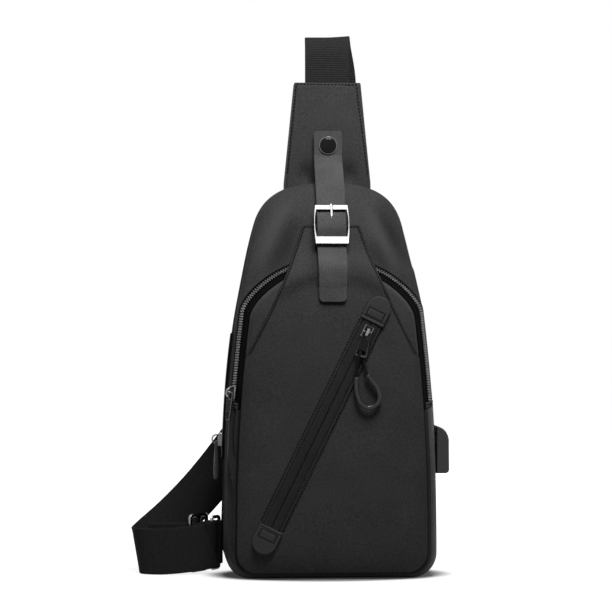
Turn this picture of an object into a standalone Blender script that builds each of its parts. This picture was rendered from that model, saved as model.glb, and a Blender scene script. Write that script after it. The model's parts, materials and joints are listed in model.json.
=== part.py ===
"""Sling bag: lofted body, arched main zip, slanted pocket, buckled closure strap, neck and webbing strap.

Metres, +Z up. The origin is on the floor at the middle of the base, -Y is the front and +X the right side.
"""

import math

import bmesh
import bpy
import numpy as np
from mathutils import Matrix, Vector

# Clearances and merging
GAP = 0.0003
RUN = 0.0007
MERGE = 0.000001

# Thickness of the sheet materials
SHELL = 0.002
FABRIC = 0.0012
LINING = 0.001
TAPE = 0.001
WEBBING = 0.0016
LEATHER = 0.002

# Body outline, seen from the front
BODY_HALF_WIDTH = 0.088
BODY_CORNER = 0.022
BODY_SHOULDER_HALF = 0.0612
BODY_SHOULDER_HEIGHT = 0.2915
BODY_SHOULDER_RISE = 0.0243
BODY_CROWN = 0.326
BODY_LEAN = 0.268

# Front cover outline and the band that carries the main zip round it
COVER_HALF_WIDTH = 0.0785
COVER_CORNER = 0.017
COVER_FLOOR = 0.005
COVER_SHOULDER_HALF = 0.068
COVER_SHOULDER_HEIGHT = 0.2135
COVER_SHOULDER_RISE = 0.012
COVER_CROWN = 0.2545
COVER_LEAN = 0.12
BAND_SIDE = 0.008
BAND_SHOULDER = 0.0075
BAND_SHOULDER_LIFT = 0.006
BAND_CROWN = 0.009
BAND_CORNER = 0.0205

# Depths, front to back along +Y
COVER_BULGE = 0.007
COVER_EDGE = -0.035
BAND_BACK = -0.023
ROLL_FRONT = 0.008
ROLL_BACK = 0.026
BACK_SEAM = 0.032
BACK_SEAM_INSET = 0.0012
BACK_PANEL = 0.008
BACK_PAD = 0.0045
BACK_PAD_INSET = 0.014
INNER_POCKET_MARGIN = 0.030
INNER_POCKET_FLOOR = 0.018
INNER_POCKET_HEIGHT = 0.132
INNER_POCKET_CORNER = 0.010
UPPER_ROUNDNESS = 0.7

# Front panel and flap
FLAP_FOOT_HEIGHT = 0.180
FLAP_WAIST = (0.0393, 0.237)
FLAP_HALF_TOP = 0.0232
FLAP_TOP = 0.2865
FLAP_CORNER = 0.0025
GORE_TUCK = 0.003
GORE_RISE = 0.006
GORE_TOP_MARGIN = 0.010
DRAPE_REACH = 0.009
DRAPE_START = 0.205

# Main zip
ZIP_END_HEIGHT = 0.1395
ZIP_END_TAB = 0.005
CHAIN_WIDTH = 0.0042
CHAIN_HEIGHT = 0.0016
CHAIN_PLACE = 0.6
MAIN_SLIDER_CLEAR = 0.0075
MAIN_SLIDER_TRAVEL = 0.042
MAIN_PULL_LENGTH = 0.0225

# Side zip on the left gusset
SIDE_ZIP_DEPTH = 0.012
SIDE_ZIP_LOW = 0.096
SIDE_ZIP_HIGH = 0.200
SIDE_ZIP_WIDTH = 0.016
SIDE_SLIDER_HEIGHT = 0.1115
SIDE_SLIDER_TRAVEL = 0.060
SIDE_PULL_LENGTH = 0.034

# Slanted pocket zip
POCKET_TOP = (0.0311, 0.2092)
POCKET_BOTTOM = (-0.0498, 0.0437)
WELT_OUTER = 0.008
WELT_INNER = 0.0011
WELT = 0.0008
WELT_TUCK = 0.007
COIL_WIDTH = 0.0016
TAB_WIDTH = 0.0206
TAB_STRAIGHT = 0.0126
TAB = 0.001
POCKET_SLIDER_DROP = 0.0085
POCKET_PULL_TWIST = math.radians(10)
POCKET_PULL_LENGTH = 0.0205
CORD_RADIUS = 0.0011
SLEEVE_RADIUS = 0.002

# Zip slider and pull
SLIDER_LENGTH = 0.0105
SLIDER_WALL = 0.0011
BAIL_WIDTH = 0.0022
BAIL_HALF_SPAN = 0.0030
BAIL_THICK = 0.0011
BAIL_AXIS = 0.0014
PULL_PLATE = 0.0012
PULL_EYE_BAR = 0.0016
PULL_EYE_HALF = 0.0024
PULL_EYE_LENGTH = 0.0046

# Neck
NECK_HALF_TOP = 0.028
NECK_HALF_BOTTOM = 0.0365
NECK_TOP = 0.411
NECK_FRONT = 0.024
NECK_FACE = 0.0026
NECK_CORE = 0.0086
NECK_CORE_TOP = 0.392
NECK_CORNER = 0.003

# Closure strap, pin buckle and press stud
STRAP_HALF = 0.012
STRAP_TAIL_HALF = 0.0113
STRAP_TAIL_HEIGHT = 0.226
STRAP_END_HEIGHT = 0.3695
BUCKLE_HEIGHT = 0.2863
BUCKLE_TILT = math.radians(22)
BUCKLE_HALF_WIDTH = 0.0148
BUCKLE_BOW = 0.0012
BUCKLE_HALF_LENGTH = 0.0175
BUCKLE_TOP_BAR = 0.0046
BUCKLE_BOTTOM_BAR = 0.0070
BUCKLE_SIDE_BAR = 0.0022
BUCKLE_PLATE = 0.0026
BUCKLE_BAR_RADIUS = 0.001
BUCKLE_TAB = 0.0012
BUCKLE_TAB_HALF = 0.0105
BUCKLE_TAB_FOOT = 0.246
PRONG_RADIUS = 0.0009
PRONG_SLOT_HALF = 0.0015
PRONG_SLOT = (0.0009, 0.0074)
STRAP_BREAK = 0.0223
SNAP_HEIGHT = 0.3574
SNAP_CAP_RADIUS = 0.0075
SNAP_CAP = 0.0026
SNAP_SOCKET_RADIUS = 0.006
SNAP_SOCKET = 0.0018
SNAP_STUD_RADIUS = 0.0036
SNAP_PLAY = 0.001
SNAP_FLANGE_RADIUS = 0.0055
SNAP_WASHER = 0.0007

# Shoulder strap and its hardware
STRAP_WIDTH = 0.038
RING_HALF_HEIGHT = 0.0214
RING_HEIGHT = 0.0253
RING_WIRE = 0.0015
RING_REACH = 0.0127
RING_DEPTH = 0.020
TAB_WEBBING = 0.0014
TAB_WEBBING_WIDTH = 0.036
ADJUSTER_HALF_HEIGHT = 0.0245
ADJUSTER_HALF_LENGTH = 0.012
ADJUSTER_BAR = 0.003
ADJUSTER_PLATE = 0.0026
ADJUSTER_TILT = math.radians(50)
ADJUSTER_PLACE = -0.112
TAIL_DEPTH = 0.0155
TAIL_HEIGHT = 0.0228

# USB port on the right gusset
USB_LOW = 0.084
USB_HEIGHT = 0.0395
USB_REACH = 0.0112
USB_WIDTH = 0.024
USB_DEPTH = 0.002
USB_SHELL = (0.0057, 0.0131, 0.016)
USB_SHELL_WALL = 0.0004
USB_MOUTH_INSET = 0.0006
USB_PLATE = (0.0012, 0.020, 0.026)

# Points along each stretch of an outline
BASE_STEPS = 3
CORNER_STEPS = 5
SIDE_STEPS = 12
TOP_STEPS = 10
UPPER_STEPS = 5

X = Vector((1, 0, 0))
Y = Vector((0, 1, 0))
Z = Vector((0, 0, 1))


# Scene and object helpers

for old in list(bpy.data.objects):
    bpy.data.objects.remove(old)

PARTS = bpy.data.collections.new("sling_bag")
CUTTERS = bpy.data.collections.new("cutters")
bpy.context.scene.collection.children.link(PARTS)
bpy.context.scene.collection.children.link(CUTTERS)


def look(name, colour, roughness, metallic=0.0):
    """A Principled material."""
    made = bpy.data.materials.new(name)
    made.use_nodes = True
    surface = made.node_tree.nodes["Principled BSDF"]
    surface.inputs["Base Color"].default_value = (*colour, 1.0)
    surface.inputs["Roughness"].default_value = roughness
    surface.inputs["Metallic"].default_value = metallic
    return made


def coated_fabric(name, shade=0.045):
    """Dark grey matte coated cloth."""
    return look(name, (shade, shade, shade * 1.04), 0.75)


def webbing_look(name):
    """Black ribbed webbing."""
    return look(name, (0.018, 0.018, 0.019), 0.85)


def black_nickel(name):
    """Dark plated metal of the zip sliders and pulls."""
    return look(name, (0.06, 0.06, 0.065), 0.28, 1.0)


def silver(name):
    """Bright plated metal of the buckle."""
    return look(name, (0.78, 0.78, 0.79), 0.22, 1.0)


def part(name, mesh, material, matrix=None):
    """A named object of the bag, smooth but sharp at its corners."""
    made = bpy.data.objects.new(name, mesh)
    made.matrix_world = matrix or Matrix()
    mesh.materials.append(material)
    mesh.shade_smooth()
    mesh.set_sharp_from_angle(angle=math.radians(35))
    PARTS.objects.link(made)
    return made


def cutter(made):
    """Move an object to the cutters, which are not pieces of the bag."""
    PARTS.objects.unlink(made)
    CUTTERS.objects.link(made)
    made.hide_render = True
    made.display_type = "WIRE"
    return made


def combine(target, tool, operation):
    """Join a cutter to a piece or cut it away."""
    boolean = target.modifiers.new(operation.lower(), "BOOLEAN")
    boolean.operation = operation
    boolean.object = cutter(tool)


def frame_at(origin, out, up):
    """A frame with its z along out and its y as near as possible to up."""
    z = Vector(out).normalized()
    y = Vector(up)
    y = (y - y.dot(z) * z).normalized()
    turned_to = Matrix((y.cross(z), y, z)).transposed().to_4x4()
    return Matrix.Translation(Vector(origin)) @ turned_to


def upright(depth):
    """A frame whose outline plane stands across the bag: x to the right, y up and z to the front."""
    return frame_at((0, depth, 0), -Y, Z)


def sheet(name, points, thickness, material, closed=False, offset=-1.0):
    """A sewn piece: rows and columns of surface points, thickened to one side or about the middle."""
    rows, columns = points.shape[:2]
    spans = columns if closed else columns - 1
    bm = bmesh.new()
    bmesh.ops.create_grid(bm, x_segments=spans, y_segments=rows - 1, size=0.5)
    for vertex in bm.verts:
        column = round((vertex.co.x + 0.5) * spans) % columns
        row = round((vertex.co.y + 0.5) * (rows - 1))
        vertex.co = points[row, column]
    bmesh.ops.remove_doubles(bm, verts=bm.verts, dist=MERGE)
    mesh = bpy.data.meshes.new(name)
    bm.to_mesh(mesh)
    bm.free()
    made = part(name, mesh, material)
    solidify = made.modifiers.new("thickness", "SOLIDIFY")
    solidify.thickness = thickness
    solidify.offset = offset
    solidify.use_even_offset = True
    solidify.use_quality_normals = True
    return made


def ribbon(name, centres, sides, widths, thickness, material):
    """A band along a path: its middle line, the direction of its width and its width at each point."""
    half = np.broadcast_to(np.asarray(widths, float), (len(centres),))[:, None] / 2
    sides = np.asarray(sides, float)
    points = np.stack([centres - sides * half, centres + sides * half], axis=1)
    return sheet(name, points, thickness, material, offset=0.0)


def solid_of(curve):
    """The closed mesh of a curve, with its caps welded on."""
    shown = bpy.data.objects.new("curve", curve)
    PARTS.objects.link(shown)
    evaluated = shown.evaluated_get(bpy.context.evaluated_depsgraph_get())
    mesh = bpy.data.meshes.new_from_object(evaluated)
    bpy.data.objects.remove(shown)
    bm = bmesh.new()
    bm.from_mesh(mesh)
    bmesh.ops.remove_doubles(bm, verts=bm.verts, dist=MERGE * 10)
    bmesh.ops.recalc_face_normals(bm, faces=bm.faces)
    bm.to_mesh(mesh)
    bm.free()
    return mesh


def spline(curve, points, cyclic):
    """A straight-run spline through points."""
    run = curve.splines.new("POLY")
    run.points.add(len(points) - 1)
    for knot, place in zip(run.points, points):
        knot.co = (*place, 0.0, 1.0) if len(place) == 2 else (*place, 1.0)
    run.use_cyclic_u = cyclic


def plate(name, loops, thickness, material, matrix, edge=0.0):
    """A flat piece: an outline and its holes, extruded about the middle, with an optional rounded edge."""
    curve = bpy.data.curves.new(name, "CURVE")
    curve.dimensions = "2D"
    curve.fill_mode = "BOTH"
    curve.extrude = thickness / 2 - edge
    curve.bevel_depth = edge
    curve.bevel_resolution = 1
    curve.offset = -edge
    for loop in loops:
        spline(curve, loop, True)
    return part(name, solid_of(curve), material, matrix)


def tube(name, points, radius, material, matrix=None, cyclic=False, sides=2):
    """A round bar or cord along a path."""
    curve = bpy.data.curves.new(name, "CURVE")
    curve.dimensions = "3D"
    curve.bevel_depth = radius
    curve.bevel_resolution = sides
    curve.use_fill_caps = not cyclic
    spline(curve, points, cyclic)
    return part(name, solid_of(curve), material, matrix)


def turned(name, profile, material, matrix):
    """A round piece: a profile of radius and height, from the top down its outer side, turned about z."""
    mesh = bpy.data.meshes.new(name)
    mesh.from_pydata([(r, 0, h) for r, h in profile], [(k, k + 1) for k in range(len(profile) - 1)], [])
    made = part(name, mesh, material, matrix)
    screw = made.modifiers.new("turn", "SCREW")
    screw.steps = 20
    screw.render_steps = 20
    screw.use_merge_vertices = True
    screw.merge_threshold = MERGE
    return made


def block(name, low, high, material, matrix=None):
    """A rectangular block between two corners."""
    loop = [(low[0], low[1]), (high[0], low[1]), (high[0], high[1]), (low[0], high[1])]
    middle = Matrix.Translation((0, 0, (low[2] + high[2]) / 2))
    return plate(name, [loop], high[2] - low[2], material, (matrix or Matrix()) @ middle)


# Curves

def bezier(start, first, second, end, steps):
    """Points of a cubic curve after its start."""
    t = np.linspace(0, 1, steps + 1)[1:, None]
    corners = [np.asarray(p, float) for p in (start, first, second, end)]
    weights = ((1 - t) ** 3, 3 * t * (1 - t) ** 2, 3 * t**2 * (1 - t), t**3)
    return sum(w * c for w, c in zip(weights, corners))


def smooth_path(points, steps):
    """A smooth curve through points, with some steps between each pair."""
    p = np.asarray(points, float)
    p = np.vstack([2 * p[0] - p[1], p, 2 * p[-1] - p[-2]])
    t = np.linspace(0, 1, steps, endpoint=False)[:, None]
    runs = []
    for a, b, c, d in zip(p, p[1:], p[2:], p[3:]):
        bend = (2 * a - 5 * b + 4 * c - d) * t**2 + (3 * b - a - 3 * c + d) * t**3
        runs.append(0.5 * (2 * b + (c - a) * t + bend))
    return np.vstack(runs + [p[-2:-1]])


def arc(centre, radius, start, end, steps):
    """Points of a circular arc, angles in degrees."""
    angles = np.radians(np.linspace(start, end, steps + 1))
    return [(centre[0] + radius * math.cos(a), centre[1] + radius * math.sin(a)) for a in angles]


def rounded_box(half_width, low, high, radius, steps=3):
    """A rounded rectangle about x = 0."""
    right, left = half_width - radius, radius - half_width
    loop = arc((right, low + radius), radius, -90, 0, steps)
    loop += arc((right, high - radius), radius, 0, 90, steps)
    loop += arc((left, high - radius), radius, 90, 180, steps)
    return loop + arc((left, low + radius), radius, 180, 270, steps)


# Body surface

def half_outline(half, corner, floor, shoulder, rise, crown, lean):
    """Right half of a bag outline: flat base, round corner, leaning side and shoulder, up to the crown."""
    base = np.linspace((0, floor), (half - corner, floor), BASE_STEPS + 1)
    round_corner = arc((half - corner, floor + corner), corner, -90, 0, CORNER_STEPS)[1:]
    foot = (half, floor + corner)
    span = shoulder[1] - foot[1]
    low, high = 0.415 * span, 0.33 * span
    below = (shoulder[0] + lean * high, shoulder[1] - high)
    side = bezier(foot, (half, foot[1] + low), below, shoulder, SIDE_STEPS)
    above = (shoulder[0] - lean * rise, shoulder[1] + rise)
    top = bezier(shoulder, above, (0.59 * shoulder[0], crown), (0, crown), TOP_STEPS)
    return np.vstack([base, round_corner, side, top])


def inset(half, distance):
    """A half outline moved inwards."""
    along = np.gradient(half, axis=0)
    along[0], along[-1] = (1, 0), (-1, 0)
    out = np.stack([along[:, 1], -along[:, 0]], axis=1)
    moved = half - distance * out / np.linalg.norm(out, axis=1)[:, None]
    moved[[0, -1], 0] = 0
    return moved


def ring(half, depth):
    """The closed outline of a half outline at a depth, round by the right side."""
    loop = np.vstack([half, half[-2:0:-1] * (-1, 1)])
    return np.stack([loop[:, 0], np.full(len(loop), depth), loop[:, 1]], axis=1)


BODY = half_outline(
    BODY_HALF_WIDTH, BODY_CORNER, 0.0, (BODY_SHOULDER_HALF, BODY_SHOULDER_HEIGHT), BODY_SHOULDER_RISE,
    BODY_CROWN, BODY_LEAN,
)
COVER = half_outline(
    COVER_HALF_WIDTH, COVER_CORNER, COVER_FLOOR, (COVER_SHOULDER_HALF, COVER_SHOULDER_HEIGHT),
    COVER_SHOULDER_RISE, COVER_CROWN, COVER_LEAN,
)
BAND = half_outline(
    COVER_HALF_WIDTH + BAND_SIDE, BAND_CORNER, 0.0,
    (COVER_SHOULDER_HALF + BAND_SHOULDER, COVER_SHOULDER_HEIGHT + BAND_SHOULDER_LIFT),
    COVER_SHOULDER_RISE, COVER_CROWN + BAND_CROWN, COVER_LEAN,
)


def upper_shares(t):
    """Shares of the way in and forward along the round upper body, from the roll to the zip band."""
    quarter = t * math.pi / 2
    inward = (1 - UPPER_ROUNDNESS) * t + UPPER_ROUNDNESS * (1 - np.cos(quarter))
    forward = (1 - UPPER_ROUNDNESS) * t + UPPER_ROUNDNESS * np.sin(quarter)
    return inward, forward


def half_width(outline, height):
    """Half width of an outline at a height."""
    side = outline[BASE_STEPS:]
    return np.interp(height, side[:, 1], side[:, 0])


def crown_height(outline, x):
    """Height of the top of an outline over a place across it."""
    top = outline[-TOP_STEPS - 1:][::-1]
    return np.interp(abs(x), top[:, 0], top[:, 1])


def cover_depth(x, z):
    """Front of the cover: flat in its middle, rounded off towards its edge."""
    across = np.clip(abs(x) / half_width(COVER, z), 0, 1)
    middle, reach = (COVER_CROWN + COVER_FLOOR) / 2, (COVER_CROWN - COVER_FLOOR) / 2
    along = np.clip(abs(z - middle) / reach, 0, 1)
    return COVER_EDGE - COVER_BULGE * (1 - across**8) * (1 - along**8)


def body_depth(x, z):
    """Front of the bag without its panel: cover, zip band with its teeth, then the upper body."""
    cover, band, body = (crown_height(o, x) for o in (COVER, BAND, BODY))
    if z <= cover:
        return cover_depth(x, z)
    if z <= band:
        tape = COVER_EDGE + (BAND_BACK - COVER_EDGE) * (z - cover) / (band - cover)
        return tape - (CHAIN_HEIGHT + 2 * RUN) * math.hypot(1, (BAND_BACK - COVER_EDGE) / (band - cover))
    t = np.linspace(0, 1, 60)
    inward, forward = upper_shares(t)
    share = np.interp((body - z) / (body - band), inward, forward)
    return ROLL_FRONT + share * (BAND_BACK - ROLL_FRONT)


def panel_depth(x, z):
    """Front of the panel and flap, which lie over the gores, the zip and the upper body."""
    rest = body_depth(x, z)
    if z > DRAPE_START:
        near = [body_depth(x, z + d) for d in np.linspace(-DRAPE_REACH, DRAPE_REACH, 9)]
        rest = min(rest, sum(near) / len(near))
    return rest - FABRIC - 2 * GAP


FLAP_FOOT = (float(half_width(COVER, FLAP_FOOT_HEIGHT)) - GAP, FLAP_FOOT_HEIGHT)
FLAP_EDGE = np.vstack([
    FLAP_FOOT,
    bezier(
        FLAP_FOOT,
        np.asarray(FLAP_FOOT) / 3 + np.asarray(FLAP_WAIST) * 2 / 3,
        np.asarray((FLAP_HALF_TOP, FLAP_TOP)) / 3 + np.asarray(FLAP_WAIST) * 2 / 3,
        (FLAP_HALF_TOP, FLAP_TOP),
        24,
    ),
])


def panel_half(z):
    """Half width of the front panel at a height, which narrows into the flap above its foot."""
    if z <= FLAP_FOOT_HEIGHT:
        return half_width(COVER, z) - GAP
    return np.interp(z, FLAP_EDGE[:, 1], FLAP_EDGE[:, 0])


def rows_of(heights, inner, outer, depth, shares):
    """Surface points of a front piece: shares of the way from one edge to the other at each height."""
    rows = []
    for z in heights:
        across = inner(z) + shares * (outer(z) - inner(z))
        rows.append([(x, depth(x, z), z) for x in across])
    return np.asarray(rows)


def edge_shares(columns):
    """Shares of the way across that lie closer together near both edges."""
    return 0.5 + 0.5 * np.sin(np.linspace(-math.pi / 2, math.pi / 2, columns))


# Back and body shell

body_steps = [(inset(BODY, BACK_SEAM_INSET), BACK_SEAM - GAP), (BODY, ROLL_BACK), (BODY, ROLL_FRONT)]
for t in np.linspace(0, 1, UPPER_STEPS + 1)[1:]:
    inward, forward = upper_shares(t)
    body_steps.append((BODY + inward * (BAND - BODY), ROLL_FRONT + forward * (BAND_BACK - ROLL_FRONT)))
body_rings = np.stack([ring(half, depth) for half, depth in body_steps])
sheet("body_gusset", body_rings, SHELL, coated_fabric("gusset cloth"), closed=True)

panel_loop = ring(inset(BODY, BACK_SEAM_INSET), 0)[:, [0, 2]]
panel_frame = upright(BACK_SEAM + BACK_PANEL / 2)
plate("back_panel", [panel_loop], BACK_PANEL, coated_fabric("back cloth"), panel_frame, 0.0015)

pad_loop = ring(inset(BODY, BACK_PAD_INSET), 0)[:, [0, 2]]
pad_front = BACK_SEAM + BACK_PANEL + GAP
pad_frame = upright(pad_front + BACK_PAD / 2)
plate("back_pad", [pad_loop], BACK_PAD, coated_fabric("pad mesh", 0.02), pad_frame, 0.0015)

board_half = BODY_HALF_WIDTH - BODY_CORNER - 0.002
board_low = SHELL + GAP
block(
    "base_board", (-board_half, BAND_BACK + 0.004, board_low), (board_half, ROLL_BACK, board_low + 0.0015),
    look("board", (0.03, 0.03, 0.03), 0.6),
)

pocket_half = BODY_HALF_WIDTH - INNER_POCKET_MARGIN
pocket_rim = INNER_POCKET_FLOOR + INNER_POCKET_HEIGHT
pocket_loop = rounded_box(pocket_half, INNER_POCKET_FLOOR, pocket_rim, INNER_POCKET_CORNER)
inner_frame = upright(BACK_SEAM - GAP - LINING / 2)
plate("inner_pocket", [pocket_loop], LINING, coated_fabric("inner cloth", 0.03), inner_frame)


# Front cover: lining, gores and panel

corner_heights = COVER[BASE_STEPS + 2:BASE_STEPS + CORNER_STEPS + 1, 1]
upper_heights = np.linspace(0.045, COVER_CROWN - 0.008, 12)
lining_heights = np.r_[COVER_FLOOR + 2 * LINING, corner_heights, upper_heights]
lining = rows_of(
    lining_heights,
    lambda z: 3 * LINING - half_width(COVER, z),
    lambda z: half_width(COVER, z) - 3 * LINING,
    lambda x, z: cover_depth(x, z) + FABRIC + 4 * GAP,
    edge_shares(11),
)
sheet("front_lining", lining, LINING, coated_fabric("lining cloth", 0.02))

gore_heights = np.linspace(FLAP_FOOT_HEIGHT + GORE_RISE, COVER_CROWN - GORE_TOP_MARGIN, 9)
for side, sign in (("right", 1), ("left", -1)):
    gore = rows_of(
        gore_heights,
        lambda z: panel_half(z) - GORE_TUCK,
        lambda z: max(half_width(COVER, z) - FABRIC - 4 * GAP, panel_half(z) - GORE_TUCK + 0.0008),
        cover_depth,
        np.linspace(0, 1, 5),
    )
    gore = gore if sign > 0 else gore[:, ::-1] * (-1, 1, 1)
    sheet(side + "_gore", gore, FABRIC, coated_fabric(side + " gore cloth"))

side_heights = COVER[BASE_STEPS:-TOP_STEPS, 1]
flap_heights = np.linspace(FLAP_FOOT_HEIGHT, FLAP_TOP - FLAP_CORNER, 14)
panel_heights = np.r_[side_heights[side_heights < FLAP_FOOT_HEIGHT - 0.004], flap_heights]
panel_rows = rows_of(panel_heights, lambda z: -panel_half(z), panel_half, panel_depth, edge_shares(15))
top_half = FLAP_HALF_TOP - FLAP_CORNER
panel_top = rows_of([FLAP_TOP], lambda z: -top_half, lambda z: top_half, panel_depth, edge_shares(15))
panel_points = np.vstack([panel_rows, panel_top])
sheet("front_panel", panel_points, FABRIC, coated_fabric("panel cloth"))


# Main zip

cover_ring = ring(COVER, COVER_EDGE)
band_ring = ring(BAND, BAND_BACK - GAP - 0.6 * TAPE)
points_round = len(cover_ring)


def place_on(loop, index):
    """Point of a closed ring at an index that may lie between two of its points."""
    low = math.floor(index)
    start, end = loop[low % len(loop)], loop[(low + 1) % len(loop)]
    return start + (index - low) * (end - start)


def stretch(loop, start, end):
    """Points of a closed ring from one index to another."""
    between = range(math.floor(start) + 1, math.ceil(end))
    return np.asarray([place_on(loop, k) for k in (start, *between, end)])


def right_index(height):
    """Index on the rings' right side at a height of the zip's own line."""
    line = cover_ring + CHAIN_PLACE * (band_ring - cover_ring)
    top = len(COVER)
    return float(np.interp(height, line[BASE_STEPS:top, 2], np.arange(BASE_STEPS, top)))


def zip_frame(index):
    """Middle, width direction and outward direction of the zip band at an index."""
    start, end = place_on(cover_ring, index), place_on(band_ring, index)
    middle = start + CHAIN_PLACE * (end - start)
    across = (end - start) / np.linalg.norm(end - start)
    before, after = (
        place_on(cover_ring, k) + CHAIN_PLACE * (place_on(band_ring, k) - place_on(cover_ring, k))
        for k in (index - 0.5, index + 0.5)
    )
    out = np.cross(across, after - before)
    return middle, across, out / np.linalg.norm(out)


zip_start = right_index(ZIP_END_HEIGHT)
zip_end = points_round - zip_start
tape = np.stack([stretch(band_ring, zip_start, zip_end), stretch(cover_ring, zip_start, zip_end)])
sheet("main_zip_tape", tape, TAPE, webbing_look("main tape"))

split = 0.03
lower_end = points_round + zip_start - split
lower = [stretch(loop, zip_end + split, lower_end) for loop in (band_ring, cover_ring)]
sheet("lower_gusset", np.stack(lower), TAPE, coated_fabric("lower gusset cloth"))


def zip_ribbon(name, start, end, steps, width, height, material):
    """A strip that lies on the zip band between two indices."""
    frames = [zip_frame(k) for k in np.linspace(start, end, steps + 1)]
    centres = np.asarray([middle + out * (GAP + height / 2) for middle, _, out in frames])
    return ribbon(name, centres, [across for _, across, _ in frames], width, height, material)


tab_start = right_index(ZIP_END_HEIGHT + ZIP_END_TAB)
chain_start = right_index(ZIP_END_HEIGHT + ZIP_END_TAB + GAP * 2)
chain_look = look("main teeth", (0.05, 0.05, 0.052), 0.35, 0.8)
chain_end = points_round - chain_start
zip_ribbon("main_zip_chain", chain_start, chain_end, 60, CHAIN_WIDTH, CHAIN_HEIGHT, chain_look)
band_width = float(np.linalg.norm(place_on(cover_ring, zip_start) - place_on(band_ring, zip_start)))
for side, ends in (("right", (zip_start, tab_start)), ("left", (points_round - tab_start, zip_end))):
    material = coated_fabric(side + " end tab cloth")
    zip_ribbon("zip_end_tab_" + side, *ends, 2, 0.6 * band_width, CHAIN_HEIGHT, material)


# Zip sliders and pulls

SIDEWAYS = Matrix(((0, 0, 1, 0), (1, 0, 0, 0), (0, 1, 0, 0), (0, 0, 0, 1)))
ENDWAYS = Matrix.Rotation(math.pi / 2, 4, "X")


def zip_slider(name, frame, channel, base):
    """A slider that straddles a chain: frame on its seat, y along the zip; returns its bail axis frame."""
    half_channel, roof = channel
    half = half_channel + SLIDER_WALL
    top = roof + SLIDER_WALL
    chamfer = 0.5 * SLIDER_WALL
    loop = [
        (half_channel, base), (half, base), (half, top - chamfer), (half - chamfer, top),
        (chamfer - half, top), (-half, top - chamfer), (-half, base), (-half_channel, base),
        (-half_channel, roof), (half_channel, roof),
    ]
    body = plate(name, [loop], SLIDER_LENGTH, black_nickel(name + " metal"), frame @ ENDWAYS)
    inner = BAIL_HALF_SPAN
    outer = inner + BAIL_THICK
    spring = top + BAIL_AXIS
    arch = [(-outer, top - chamfer), (-inner, top - chamfer)] + arc((0, spring), inner, 180, 0, 8)
    arch += [(inner, top - chamfer), (outer, top - chamfer)] + arc((0, spring), outer, 0, 180, 8)
    bail = plate(name + "_bail", [arch], BAIL_WIDTH, body.data.materials[0], frame @ SIDEWAYS)
    combine(body, bail, "UNION")
    return frame @ Matrix.Translation((0, 0, spring))


def zip_pull(name, frame, length, half_foot, foot_bar, foot_slot, thickness, material):
    """A flat pull that hangs from its eye bar along -y, with a slot above its foot bar."""
    bar = PULL_EYE_BAR / 2
    half_eye = PULL_EYE_HALF + PULL_EYE_BAR * 0.8
    foot = -length
    radius = 0.0012
    loop = arc((half_eye - radius, bar - radius), radius, 90, 0, 2)
    loop += [(half_eye, -PULL_EYE_LENGTH)]
    loop += arc((half_foot - radius, foot + radius), radius, 0, -90, 2)
    loop += [(-x, y) for x, y in reversed(loop)]
    eye = rounded_box(PULL_EYE_HALF, -bar - PULL_EYE_LENGTH, -bar, 0.0006, 1)
    slot_low = foot + foot_bar
    slot = rounded_box(foot_slot[0], slot_low, slot_low + foot_slot[1], 0.4 * min(foot_slot), 2)
    return plate(name, [loop, eye, slot], thickness, material, frame, 0.0003)


rest_height = ZIP_END_HEIGHT + ZIP_END_TAB + MAIN_SLIDER_CLEAR
rest_index = points_round - right_index(rest_height)
far_index = points_round - right_index(rest_height + MAIN_SLIDER_TRAVEL)
start, _, out = zip_frame(rest_index)
end = zip_frame(far_index)[0]
main_frame = frame_at(start + out * GAP, out, end - start)
main_axis = zip_slider("main_zip_slider", main_frame, (CHAIN_WIDTH / 2 + RUN, CHAIN_HEIGHT + RUN), RUN)
zip_pull(
    "main_zip_pull", main_axis, MAIN_PULL_LENGTH, 0.0024, 0.0012, (0.0013, 0.005), PULL_PLATE,
    black_nickel("main pull metal"),
)


# Side zip on the left gusset

def side_place(height, lift):
    """Point over the left gusset at a height, on the side zip's line."""
    return np.asarray((-half_width(BODY, height) - lift, SIDE_ZIP_DEPTH, height))


def side_ribbon(name, low, high, lift, width, thickness, material):
    """A strip along the left gusset."""
    heights = np.linspace(low, high, 9)
    centres = np.asarray([side_place(z, lift + thickness / 2) for z in heights])
    return ribbon(name, centres, [(0, -1, 0)] * len(heights), width, thickness, material)


side_tape = webbing_look("side tape")
side_ribbon("side_zip_tape", SIDE_ZIP_LOW, SIDE_ZIP_HIGH, GAP, SIDE_ZIP_WIDTH, TAPE, side_tape)
side_lift = GAP + TAPE + GAP
side_chain = look("side teeth", (0.05, 0.05, 0.052), 0.35, 0.8)
side_ribbon("side_zip_chain", SIDE_ZIP_LOW, SIDE_ZIP_HIGH, side_lift, CHAIN_WIDTH, CHAIN_HEIGHT, side_chain)
side_start = side_place(SIDE_SLIDER_HEIGHT, side_lift)
side_run = side_place(SIDE_SLIDER_HEIGHT + SIDE_SLIDER_TRAVEL, side_lift) - side_start
side_frame = frame_at(side_start, (-side_run[2], 0, side_run[0]), side_run)
side_axis = zip_slider("side_zip_slider", side_frame, (CHAIN_WIDTH / 2 + RUN, CHAIN_HEIGHT + 2 * RUN), RUN)
zip_pull(
    "side_zip_pull", side_axis, SIDE_PULL_LENGTH, 0.0033, 0.0022, (0.0012, 0.0012), 0.0018,
    look("pull leather", (0.11, 0.105, 0.11), 0.55),
)


# Slanted pocket zip

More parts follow.
